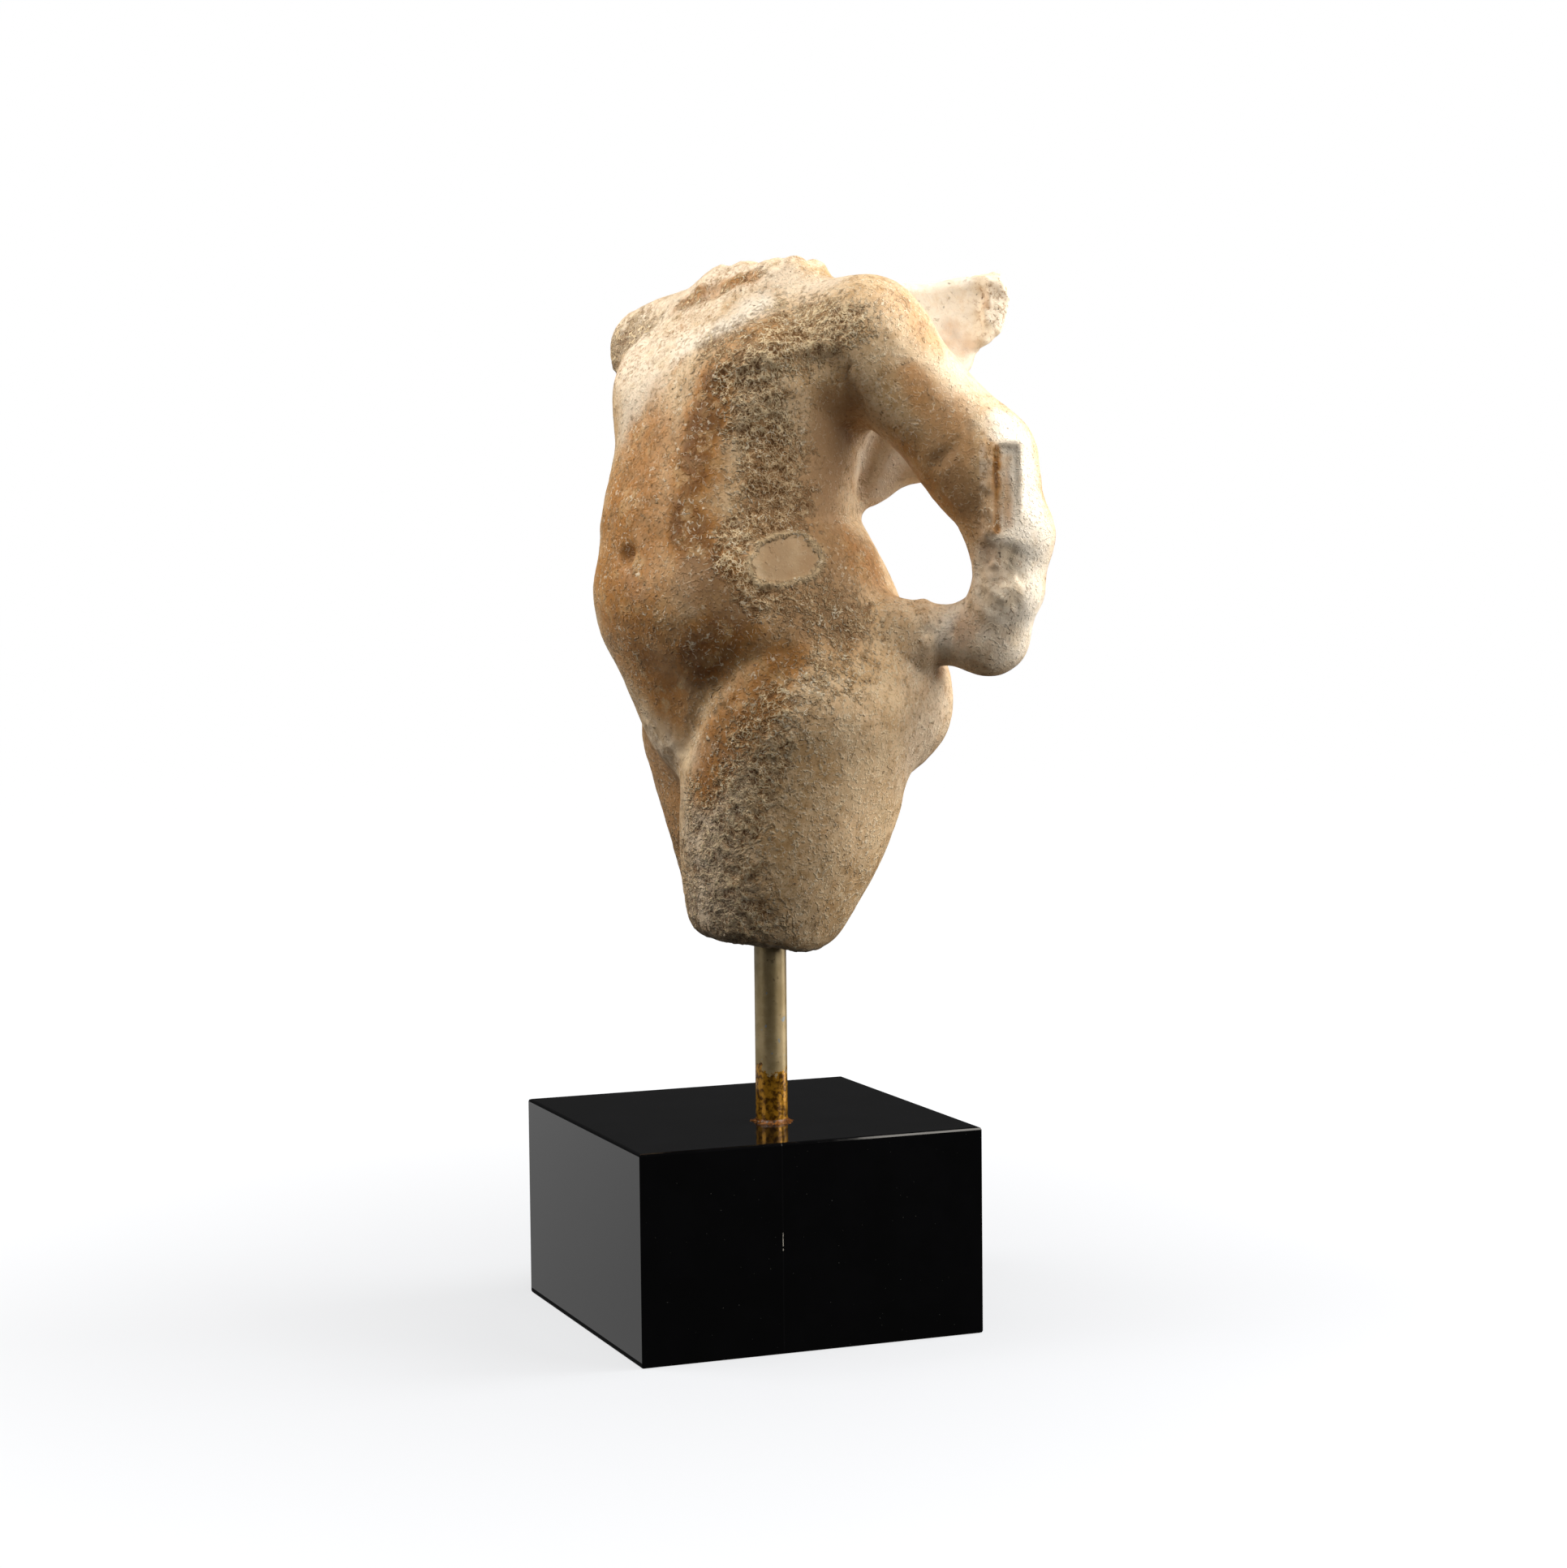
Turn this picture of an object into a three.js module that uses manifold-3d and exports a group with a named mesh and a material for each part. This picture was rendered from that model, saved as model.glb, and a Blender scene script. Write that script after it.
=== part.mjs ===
// A boy's winged torso in worn marble, broken at the neck, the right shoulder, the wing and both
// thighs. A metal rod in the left thigh holds it above a polished black block.
// Millimetres, +Z up. The origin is the middle of the block's underside, and the figure faces -Y,
// turned a little towards its own left, which is +X.
import * as THREE from 'three';
import { mergeVertices } from 'three/addons/utils/BufferGeometryUtils.js';
import Module from 'manifold-3d';

// Driving dimensions
const FIGURE_HEIGHT = 212; // from the broken thighs to the broken neck
const FIGURE_TURN = 10; // degrees about the upright
const BLOCK_SIDE = 110;
const BLOCK_HEIGHT = 63.5;
const BLOCK_BEVEL = 0.8;
const ROD_DIAMETER = 10;
const ROD_BEVEL = 0.6;
const ROD_SHOWN = 53.5; // the length that shows between the block and the lowest marble
const ROD_IN_BLOCK = 20;
const ROD_IN_MARBLE = 30;
const CLEARANCE = 0.3; // round the rod and at both its ends

// The figure is drawn 212 high in its own frame, x to its left, y to its back and z up from the
// thigh break, and then brought to FIGURE_HEIGHT.
const DRAWN_HEIGHT = 212;
const DRAWN_LOWEST = 2; // the lowest point of the thigh break
const CARVING_STEP = 3; // of the grid that the facets start from
const MOST_FACETS = 8600;
const DRAWN_SPACE = { low: [-71.5, -60, -8], high: [98, 98, 222] };
const ROD_PLACE = [17.9, -2.1]; // in the left thigh
const SCALE = FIGURE_HEIGHT / DRAWN_HEIGHT;
const ROD_SIDES = 28;

// Level sections: height, centre x and y, half width, half depth, turn in degrees
const TRUNK = [
  [50, 3, 10, 34, 28, 0],
  [66, 4, 9, 43, 38, 0],
  [84, 4, 7, 48.5, 41.5, 0],
  [100, 3, 4, 49, 45, 0],
  [112, 2, 1, 47, 45, 0],
  [124, 0, -1, 45, 42, 0],
  [136, -2, -3, 41, 39, 3],
  [152, -3, 0, 41, 37, 5],
  [168, -2, 2, 41, 34, 8],
  [184, 0, 6, 39, 30, 10],
  [197, 0, 9, 31, 23, 10],
  [207, 0, 9, 20, 17, 10],
];
const LEFT_THIGH = [
  [-8, 16.5, -5.5, 16, 16, 0],
  [4, 17.5, -4, 21.5, 21.5, 0],
  [15, 18.5, -2, 26, 26, 0],
  [30, 19.5, 1.5, 30.5, 31, 0],
  [45, 20.5, 4.3, 33, 34.3, 0],
  [60, 22, 6.5, 35, 36.5, 0],
  [76, 25, 8, 35.5, 36, 0],
  [94, 27, 10, 29, 31, 0],
];

// Joints of the pose
const LEFT_SHOULDER = [40, 20, 187];
const RIGHT_SHOULDER = [-46.5, -3.5, 189.5];
const UPPER_ARM_MIDDLE = [63.3, 45.6, 150];
const LEFT_ELBOW = [71.6, 51, 128];
const LEFT_WRIST = [68, 54, 112];
const LEFT_HAND = [61, 51, 98];
const STRUT_ROOT = [41, 26, 98];

// Directions across the outer side of the left arm: along it to the back, and out of it
const ALONG = [0.524, 0.852, 0];
const OUT = [0.852, -0.524, 0];

// The wing stub's outline: distance out from its root, and height
const WING_ROOT = [16, 32];
const WING_RUN = [0.569, 0.822];
const WING_OUTLINE = [
  [-8, 204], [20, 206.5], [45, 208.5], [48, 201], [45, 191], [38, 184],
  [33, 176], [30, 160], [22, 146], [10, 141], [-8, 131],
];
const WING_HALF_THICKNESS = 6;
const WING_EDGE = 3.6;

const clamp = THREE.MathUtils.clamp;
const dot = (a, b) => a[0] * b[0] + a[1] * b[1] + a[2] * b[2];
const minus = (a, b) => [a[0] - b[0], a[1] - b[1], a[2] - b[2]];
const moved = (a, way, far) => [a[0] + way[0] * far, a[1] + way[1] * far, a[2] + way[2] * far];
const size = (x, y, z = 0) => Math.sqrt(x * x + y * y + z * z);

// Soft join of two distances, and its mirror, a soft cut
function join(a, b, reach) {
  const h = clamp(0.5 + (0.5 * (b - a)) / reach, 0, 1);
  return b + (a - b) * h - reach * h * (1 - h);
}

function trim(a, b, reach) {
  return -join(-a, -b, reach);
}

// Distance to an ellipsoid
function egg(centre, radii) {
  return (p) => {
    const q = minus(p, centre);
    const near = size(q[0] / radii[0], q[1] / radii[1], q[2] / radii[2]);
    const steep = size(q[0] / radii[0] ** 2, q[1] / radii[1] ** 2, q[2] / radii[2] ** 2) + 1e-9;
    return (near * (near - 1)) / steep;
  };
}

// Distance to a ball at each end and the cone that touches both
function limb(start, end, startRadius, endRadius) {
  const run = minus(end, start);
  const length2 = dot(run, run);
  const fall = startRadius - endRadius;
  const slant = length2 - fall * fall;
  return (p) => {
    const q = minus(p, start);
    const y = dot(q, run);
    const z = y - length2;
    const x2 = Math.max(dot(q, q) * length2 - y * y, 0) * length2;
    const y2 = y * y * length2;
    const z2 = z * z * length2;
    const k = Math.sign(fall) * fall * fall * x2;
    if (Math.sign(z) * slant * z2 > k) return Math.sqrt(x2 + z2) / length2 - endRadius;
    if (Math.sign(y) * slant * y2 < k) return Math.sqrt(x2 + y2) / length2 - startRadius;
    return (Math.sqrt(x2 * slant / length2) + y * fall) / length2 - startRadius;
  };
}

// One column of the sections at height z, on a smooth curve through the rows
function between(rows, column, z) {
  const last = rows.length - 1;
  const at = clamp(z, rows[0][0], rows[last][0]);
  let i = 0;
  while (i < last - 1 && at > rows[i + 1][0]) i += 1;
  const slope = (j) => {
    const a = rows[Math.max(j - 1, 0)];
    const b = rows[Math.min(j + 1, last)];
    return (b[column] - a[column]) / (b[0] - a[0]);
  };
  const step = rows[i + 1][0] - rows[i][0];
  const t = (at - rows[i][0]) / step;
  const t2 = t * t;
  const t3 = t2 * t;
  return (2 * t3 - 3 * t2 + 1) * rows[i][column] + (3 * t2 - 2 * t3) * rows[i + 1][column]
    + (t3 - 2 * t2 + t) * step * slope(i) + (t3 - t2) * step * slope(i + 1);
}

// Distance to a stack of level ellipses
function loft(rows) {
  const low = rows[0][0];
  const high = rows[rows.length - 1][0];
  return (p) => {
    const [x, y, wide, deep, turn] = [1, 2, 3, 4, 5].map((column) => between(rows, column, p[2]));
    const c = Math.cos(THREE.MathUtils.degToRad(turn));
    const s = Math.sin(THREE.MathUtils.degToRad(turn));
    const across = c * (p[0] - x) + s * (p[1] - y);
    const inward = c * (p[1] - y) - s * (p[0] - x);
    const near = size(across / wide, inward / deep);
    const steep = size(across / wide ** 2, inward / deep ** 2) + 1e-9;
    return trim((near * (near - 1)) / steep, Math.max(low - p[2], p[2] - high), 8);
  };
}

// Lumps of a broken face, between -1 and 1
function lumps(p, grain, seed) {
  const x = p[0] / grain + seed;
  const y = p[1] / grain - 0.7 * seed;
  const z = p[2] / grain + 1.3 * seed;
  const a = Math.sin(2.1 * x + 1.3 * y + Math.sin(1.7 * z + 0.6 * x));
  const b = Math.sin(2.3 * y - 1.1 * z + 1.4 * Math.sin(1.9 * x));
  const c = Math.sin(2.6 * z + 1.2 * x - 0.9 * Math.sin(2.2 * y));
  return (a + b + c) / 3;
}

// Signed distance to a closed flat outline
function outlineDistance(x, y, outline) {
  let best = Infinity;
  let inside = -1;
  outline.forEach((a, i) => {
    const b = outline[(i + outline.length - 1) % outline.length];
    const edge = [b[0] - a[0], b[1] - a[1]];
    const way = [x - a[0], y - a[1]];
    const t = clamp((way[0] * edge[0] + way[1] * edge[1]) / (edge[0] ** 2 + edge[1] ** 2), 0, 1);
    best = Math.min(best, size(way[0] - edge[0] * t, way[1] - edge[1] * t));
    const above = y >= a[1];
    const under = y < b[1];
    const turn = edge[0] * way[1] > edge[1] * way[0];
    if ((above && under && turn) || (!above && !under && !turn)) inside = -inside;
  });
  return -inside * best;
}

// Distance to a slab given by three distances, with rounded edges
function slab(a, b, c, edge) {
  const outside = size(Math.max(a, 0), Math.max(b, 0), Math.max(c, 0));
  return outside + Math.min(Math.max(a, b, c), 0) - edge;
}

// The wing: a slab standing on the left shoulder blade, with folds near its lower edge
function wing(p) {
  const out = (p[0] - WING_ROOT[0]) * WING_RUN[0] + (p[1] - WING_ROOT[1]) * WING_RUN[1];
  const across = (p[0] - WING_ROOT[0]) * WING_RUN[1] - (p[1] - WING_ROOT[1]) * WING_RUN[0];
  const rim = outlineDistance(out, p[2], WING_OUTLINE) + WING_EDGE + 0.8 * lumps(p, 7, 3);
  const fold = 0.9 * Math.sin(0.5 * (out - 0.55 * (p[2] - 150))) * clamp((170 - p[2]) / 14, 0, 1);
  const face = Math.abs(across + 1.2 * Math.sin(out / 14)) - (WING_HALF_THICKNESS - WING_EDGE) + fold;
  return slab(rim, face, -1e3, WING_EDGE);
}

// What is left of a fluted piece on the outer side of the left arm
const FLUTED = { along: 78.8, out: 41.5, height: 141, half: [5.8, 4.6, 13.5], edge: 1.6 };
const FLUTES = [[77, 1.3, 1.44], [81.2, 1, 0.7], [84.3, 1, 0.6]]; // place, width, depth

function fluted(p) {
  const along = dot(p, ALONG);
  const rise = p[2] - FLUTED.height;
  let depth = 0;
  for (const [place, width, most] of FLUTES) depth += most * Math.exp(-(((along - place) / width) ** 2));
  const a = Math.abs(along - FLUTED.along + 0.03 * rise) - FLUTED.half[0];
  const b = Math.abs(dot(p, OUT) - FLUTED.out) - FLUTED.half[1] + depth;
  const c = Math.abs(rise) - FLUTED.half[2];
  return slab(a, b, c, FLUTED.edge);
}

// The forms in the order they are joined, each with the reach of its join
const FORMS = [
  [loft(TRUNK), 0],
  [limb([0.8, 9.3, 198], [1.8, 10.3, 217], 18.5, 17), 8], // neck
  [limb([6, 10, 192], LEFT_SHOULDER, 15, 17.5), 12],
  [limb([-12, 7, 195], RIGHT_SHOULDER, 15.5, 14.5), 10],
  [egg([20, -7, 178], [22, 13, 13]), 14], // breast
  [egg([-20, -15, 176], [20, 13, 14]), 14],
  [egg([-1, -18, 107], [32, 25, 22]), 12], // belly
  [egg([22, 27, 180], [14, 10, 20]), 10], // shoulder blades
  [egg([-22, 22, 180], [14, 10, 20]), 10],
  [limb([-2, -17, 86], [0, -21, 69], 18, 8), 9], // lower belly down to the worn groin
  [egg([24, 28.5, 78], [28, 28.5, 26]), 8], // buttocks
  [egg([-24, 26, 75], [26, 26, 25]), 8],
  [limb([-21.5, 10.5, 68], [-15, 14, 0], 30.3, 18), 5], // right thigh
  [loft(LEFT_THIGH), 5],
];
const ARM = [
  [limb(LEFT_SHOULDER, UPPER_ARM_MIDDLE, 17.6, 15.2), 0],
  [limb(UPPER_ARM_MIDDLE, LEFT_ELBOW, 15.2, 11.8), 10],
  [limb(LEFT_ELBOW, LEFT_WRIST, 11.8, 10), 6],
  [egg(LEFT_HAND, [11, 12, 12]), 5],
];
const ARM_JOIN = 9;
const ATTACHED = [
  [limb(STRUT_ROOT, LEFT_HAND, 10, 8.6), 4],
  [limb([36, 20, 97], [46, 30, 98], 15, 10), 4], // flare of the strut at the hip
  [wing, 5],
  [fluted, 1.5],
];

// Channels cut along a line: points, width, depth
const CHANNELS = [
  [[[48, -12, 97], [37, -27, 89], [27, -30, 81], [18, -29, 68], [11, -27, 61]], 3.6, 2.6], // groin
  [[[-48, -4, 92], [-36, -22, 86], [-26, -28, 78], [-16, -28, 68]], 3.6, 2.2],
  [[[36, -12, 134], [40, 2, 133], [34, 19, 133], [24, 30, 134]], 3, 1.4], // waist
  [[[0, 46, 190], [-1, 38, 160], [0, 36, 130], [2, 44, 108]], 7, 3], // spine
  [[[1, 58, 98], [1, 60, 74], [1, 44, 56]], 5, 4], // between the buttocks
  [[[50, 34, 52], [28, 38, 52], [6, 34, 54]], 5, 2], // under the buttocks
  [[[-46, 26, 50], [-26, 34, 49], [-4, 32, 54]], 5, 2],
  [[[24, -26, 170], [34, -18, 173], [43, -6, 178], [52, 4, 184]], 5, 1.2], // under the breast
  [[[50, 2, 182], [49, 8, 174], [46, 13, 166], [40, 22, 158]], 4, 1.6], // armpit
  [[[-1, -44, 196], [-2, -40, 170], [-1, -44, 140]], 6, 1.6], // breastbone
  [[[74, 31, 157], [71, 28, 152], [65, 27, 147]], 2, 1.1], // crook of the elbow
];

// Round hollows, or swellings where the depth is below zero: centre, radius, depth
const HOLLOWS = [
  [[3.5, -45, 122.5], 2.6, 3.4], // navel
  [[3.5, -45, 128], 3.5, 0.8],
  [[89, 47, 106], 4, -1.2], // knuckles
  [[87, 52, 101], 4, -0.8],
];

// Broken faces: a point, the way out, reach of the edge, height and grain of the lumps, seed
const BREAKS = [
  [[17, -2, 3.6], [-0.068, -0.11, -1], 7, 0.8, 9, 2], // thighs
  [[-3, 2, 213.5], [0.03, 0.045, 1], 2.5, 1.3, 6, 5], // neck
  [[-1, -11, 204], [0.14, -0.6, 0.75], 3, 1.2, 6, 7],
  [[-20, -18, 194], [0, -0.79, 0.61], 3, 1.2, 7, 9], // front of the right shoulder
  [[-57, 0, 192], [-0.9, 0.1, 0.35], 3, 1.4, 7, 4], // right arm
];

function channel(p, [points, width, depth]) {
  let nearest = Infinity;
  let place = 0;
  const last = points.length - 1;
  for (let i = 0; i < last; i += 1) {
    const run = minus(points[i + 1], points[i]);
    const way = minus(p, points[i]);
    const t = clamp(dot(way, run) / dot(run, run), 0, 1);
    const off = minus(way, run.map((v) => v * t));
    if (dot(off, off) < nearest) {
      nearest = dot(off, off);
      place = (i + t) / last;
    }
  }
  const fade = Math.max(Math.sin(Math.PI * place), 0) ** 0.7;
  return depth * fade * Math.exp(-nearest / width ** 2);
}

function hollow(p, [centre, radius, depth]) {
  const q = minus(p, centre);
  return depth * Math.exp(-dot(q, q) / radius ** 2);
}

// The ring round the strut, and the rough patch below the flutes
function ring(p) {
  const band = Math.exp(-(((dot(p, ALONG) - 57) / 2.2) ** 2));
  const round = ((dot(p, OUT) - 24) / 16) ** 2 + ((p[2] - 98) / 14) ** 2;
  return -1.3 * band * Math.exp(-(round ** 2));
}

function roughPatch(p) {
  const away = ((dot(p, ALONG) - 77) / 8) ** 2 + ((p[2] - 114) / 12) ** 2 + ((dot(p, OUT) - 46) / 10) ** 2;
  return Math.exp(-(away ** 2)) * (0.8 + lumps(p, 3.6, 1));
}

// Signed distance to the marble, below zero inside
function marble(p) {
  const joined = ([[first], ...others]) => (
    others.reduce((d, [form, reach]) => join(d, form(p), reach), first(p))
  );
  let d = join(joined(FORMS), joined(ARM), ARM_JOIN);
  for (const [point, way, reach, height, grain, seed] of BREAKS) {
    const face = dot(minus(p, point), way) / size(...way) + height * lumps(p, grain, seed);
    d = trim(d, face, reach);
  }
  for (const [form, reach] of ATTACHED) d = join(d, form(p), reach);
  for (const line of CHANNELS) d += channel(p, line);
  for (const spot of HOLLOWS) d += hollow(p, spot);
  d += ring(p) + roughPatch(p);
  return d;
}

const UNIT = [[1, 0, 0], [0, 1, 0], [0, 0, 1]];

// A point moved along the slope of the distance until it lies on the surface
function settled(distance, start) {
  const reach = 0.2;
  let p = start;
  for (let round = 0; round < 2; round += 1) {
    const d = distance(p);
    const slope = UNIT.map((way) => (distance(moved(p, way, reach)) - d) / reach);
    const move = clamp(d / (dot(slope, slope) + 1e-6), -1, 1);
    p = moved(p, slope, -move);
  }
  return p;
}

// The distance on a grid. Where a grid of wider steps shows no surface near, its value is enough.
function sampled(distance, low, count, step) {
  const wide = 4;
  const index = (i, j, k) => (i * count[1] + j) * count[2] + k;
  const value = new Float64Array(count[0] * count[1] * count[2]);
  const place = (i, j, k) => [low[0] + i * step, low[1] + j * step, low[2] + k * step];
  for (let i = 0; i < count[0]; i += wide) {
    for (let j = 0; j < count[1]; j += wide) {
      for (let k = 0; k < count[2]; k += wide) {
        const middle = distance(place(i + wide / 2, j + wide / 2, k + wide / 2));
        const near = Math.abs(middle) < 1.5 * wide * step;
        for (let a = i; a < Math.min(i + wide, count[0]); a += 1) {
          for (let b = j; b < Math.min(j + wide, count[1]); b += 1) {
            for (let c = k; c < Math.min(k + wide, count[2]); c += 1) {
              value[index(a, b, c)] = near ? distance(place(a, b, c)) : middle;
            }
          }
        }
      }
    }
  }
  return (i, j, k) => value[index(i, j, k)];
}

// Fine facets: one corner in each cell that the surface crosses, settled on the surface, and two
// triangles round each grid edge that it crosses
function fineFacets(distance, { low, high }, step) {
  const count = low.map((v, i) => Math.ceil((high[i] - v) / step) + 1);
  const value = sampled(distance, low, count, step);
  const points = [];
  const faces = [];
  const known = new Map();
  const corner = (i, j, k) => {
    const key = (i * count[1] + j) * count[2] + k;
    if (known.has(key)) return known.get(key);
    let sum = [0, 0, 0];
    let crossings = 0;
    for (let axis = 0; axis < 3; axis += 1) {
      for (let side = 0; side < 4; side += 1) {
        const at = [i, j, k];
        at[(axis + 1) % 3] += side & 1;
        at[(axis + 2) % 3] += side >> 1;
        const a = value(...at);
        const b = value(at[0] + UNIT[axis][0], at[1] + UNIT[axis][1], at[2] + UNIT[axis][2]);
        if (a < 0 === b < 0) continue;
        at[axis] += a / (a - b);
        sum = sum.map((v, c) => v + at[c]);
        crossings += 1;
      }
    }
    points.push(settled(distance, sum.map((v, c) => low[c] + (step * v) / crossings)));
    known.set(key, points.length - 1);
    return points.length - 1;
  };
  const gap = (a, b) => size(...minus(points[a], points[b]));
  for (let i = 1; i < count[0] - 1; i += 1) {
    for (let j = 1; j < count[1] - 1; j += 1) {
      for (let k = 1; k < count[2] - 1; k += 1) {
        const here = value(i, j, k) < 0;
        for (let axis = 0; axis < 3; axis += 1) {
          if (here === value(i + UNIT[axis][0], j + UNIT[axis][1], k + UNIT[axis][2]) < 0) continue;
          const u = UNIT[(axis + 1) % 3];
          const v = UNIT[(axis + 2) % 3];
          const round = [[1, 1], [0, 1], [0, 0], [1, 0]].map(([a, b]) => corner(
            i - a * u[0] - b * v[0],
            j - a * u[1] - b * v[1],
            k - a * u[2] - b * v[2],
          ));
          const [p, q, r, s] = here ? round : round.reverse();
          if (gap(p, r) < gap(q, s)) faces.push([p, q, r], [p, r, s]);
          else faces.push([q, r, s], [q, s, p]);
        }
      }
    }
  }
  return { points, faces };
}

// Whether each edge is shared by just two faces
function isClosed(faces) {
  const uses = new Map();
  for (const face of faces) {
    face.forEach((a, i) => {
      const b = face[(i + 1) % 3];
      const key = `${Math.min(a, b)} ${Math.max(a, b)}`;
      uses.set(key, (uses.get(key) ?? 0) + 1);
    });
  }
  return [...uses.values()].every((count) => count === 2);
}

// Fine facets from the first of a few shifted grids on which no two sheets of the surface touch
function closedFacets(distance, { low, high }, step) {
  let facets = null;
  for (let shift = 0; shift < step; shift += step / 6) {
    facets = fineFacets(distance, { low: low.map((v) => v + shift), high }, step);
    if (isClosed(facets.faces)) break;
  }
  return facets;
}

// Takes out the corners that the shape needs least, until no more than most faces are left. An
// edge shrinks to a point where that leaves the planes round it least, and only where the
// surface stays closed and no face turns over.
function thinned({ points, faces }, most) {
  const facesOf = points.map(() => new Set());
  faces.forEach((face, f) => face.forEach((v) => facesOf[v].add(f)));
  const normal = (a, b, c) => {
    const [p, q] = [minus(b, a), minus(c, a)];
    return [p[1] * q[2] - p[2] * q[1], p[2] * q[0] - p[0] * q[2], p[0] * q[1] - p[1] * q[0]];
  };
  const planes = points.map(() => []);
  for (const face of faces) {
    const way = normal(...face.map((v) => points[v]));
    const area = size(...way);
    const unit = way.map((v) => v / area);
    const plane = [...unit, -dot(unit, points[face[0]]), area];
    for (const v of face) planes[v].push(plane);
  }
  const sums = planes.map((list) => {
    const sum = new Float64Array(10);
    for (const [a, b, c, d, area] of list) {
      const products = [a * a, a * b, a * c, a * d, b * b, b * c, b * d, c * c, c * d, d * d];
      products.forEach((v, i) => {
        sum[i] += area * v;
      });
    }
    return sum;
  });
  const off = (s, t, [x, y, z]) => {
    const q = s.map((v, i) => v + t[i]);
    return q[0] * x * x + q[4] * y * y + q[7] * z * z + q[9]
      + 2 * (q[1] * x * y + q[2] * x * z + q[5] * y * z + q[3] * x + q[6] * y + q[8] * z);
  };
  const neighbours = (v) => new Set([...facesOf[v]].flatMap((f) => faces[f]).filter((w) => w !== v));
  const holds = (v, other, place) => [...facesOf[v]].every((f) => {
    if (faces[f].includes(other)) return true;
    const before = normal(...faces[f].map((w) => points[w]));
    const after = normal(...faces[f].map((w) => (w === v ? place : points[w])));
    return dot(before, after) > 0.35 * size(...before) * size(...after) && size(...after) > 0.05;
  });
  let left = faces.length;
  while (left > most) {
    const edges = [];
    faces.forEach((face) => {
      if (!face) return;
      face.forEach((a, i) => {
        const b = face[(i + 1) % 3];
        if (a > b) return;
        const middle = points[a].map((v, c) => (v + points[b][c]) / 2);
        const length = size(...minus(points[a], points[b]));
        const costs = [points[a], points[b], middle].map((place) => [off(sums[a], sums[b], place), place]);
        const [cost, place] = costs.reduce((x, y) => (y[0] < x[0] ? y : x));
        edges.push([cost + 1e-3 * length ** 3, a, b, place]);
      });
    });
    edges.sort((x, y) => x[0] - y[0]);
    const touched = new Set();
    const goal = Math.max(most, Math.floor(0.85 * left));
    const before = left;
    for (const [, a, b, place] of edges) {
      if (left <= goal) break;
      if (touched.has(a) || touched.has(b)) continue;
      const shared = [...neighbours(a)].filter((v) => neighbours(b).has(v));
      if (shared.length !== 2 || !holds(a, b, place) || !holds(b, a, place)) continue;
      for (const f of facesOf[b]) {
        if (faces[f].includes(a)) {
          faces[f].filter((v) => v !== b).forEach((v) => facesOf[v].delete(f));
          faces[f] = null;
          left -= 1;
        } else {
          faces[f] = faces[f].map((v) => (v === b ? a : v));
          facesOf[a].add(f);
        }
      }
      facesOf[b].clear();
      points[a] = place;
      sums[a] = sums[a].map((v, i) => v + sums[b][i]);
      [a, b, ...neighbours(a)].forEach((v) => touched.add(v));
    }
    if (left === before) break;
  }
  return { points, faces: faces.filter((face) => face) };
}

// The faces with only the points they use, each settled on the surface again
function finished({ points, faces }, distance) {
  const renumbered = new Map();
  const kept = [];
  for (const v of faces.flat()) {
    if (!renumbered.has(v)) {
      renumbered.set(v, kept.length);
      kept.push(settled(distance, points[v]));
    }
  }
  return { positions: kept.flat(), triangles: faces.flat().map((v) => renumbered.get(v)) };
}

const wasm = await Module();
wasm.setup();

function solidFrom(positions, triangles) {
  const vertProperties = Float32Array.from(positions);
  const triVerts = Uint32Array.from(triangles);
  return new wasm.Manifold(new wasm.Mesh({ numProp: 3, vertProperties, triVerts }));
}

function solidOf(geometry) {
  const bare = geometry.clone();
  bare.deleteAttribute('normal');
  bare.deleteAttribute('uv');
  const merged = mergeVertices(bare, 1e-4);
  return solidFrom(merged.getAttribute('position').array, merged.getIndex().array);
}

function geometryOf(solid) {
  const { vertProperties, triVerts } = solid.getMesh();
  const geometry = new THREE.BufferGeometry();
  geometry.setAttribute('position', new THREE.BufferAttribute(Float32Array.from(vertProperties), 3));
  geometry.setIndex(new THREE.BufferAttribute(Uint32Array.from(triVerts), 1));
  geometry.computeVertexNormals();
  return geometry;
}

// An upright round bar with bevelled ends, or a bore when bevel is 0
function uprightBar(radius, bottom, top, bevel) {
  const profile = [[0, bottom], [radius - bevel, bottom], [radius, bottom + bevel], [radius, top - bevel],
    [radius - bevel, top], [0, top]];
  const points = profile.map(([x, y]) => new THREE.Vector2(x, y));
  const distinct = points.filter((p, i) => i === 0 || p.distanceTo(points[i - 1]) > 1e-6);
  const geometry = new THREE.LatheGeometry(distinct, ROD_SIDES);
  geometry.rotateX(Math.PI / 2);
  return geometry;
}

const boreRadius = ROD_DIAMETER / 2 + CLEARANCE;
const rodBottom = BLOCK_HEIGHT - ROD_IN_BLOCK;
const marbleBottom = BLOCK_HEIGHT + ROD_SHOWN;
const rodTop = marbleBottom + ROD_IN_MARBLE;
const rodPlace = new THREE.Vector3(ROD_PLACE[0], ROD_PLACE[1], 0).multiplyScalar(SCALE);
const turn = THREE.MathUtils.degToRad(FIGURE_TURN);
const rodOnBlock = rodPlace.clone().applyAxisAngle(new THREE.Vector3(0, 0, 1), turn);

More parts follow.
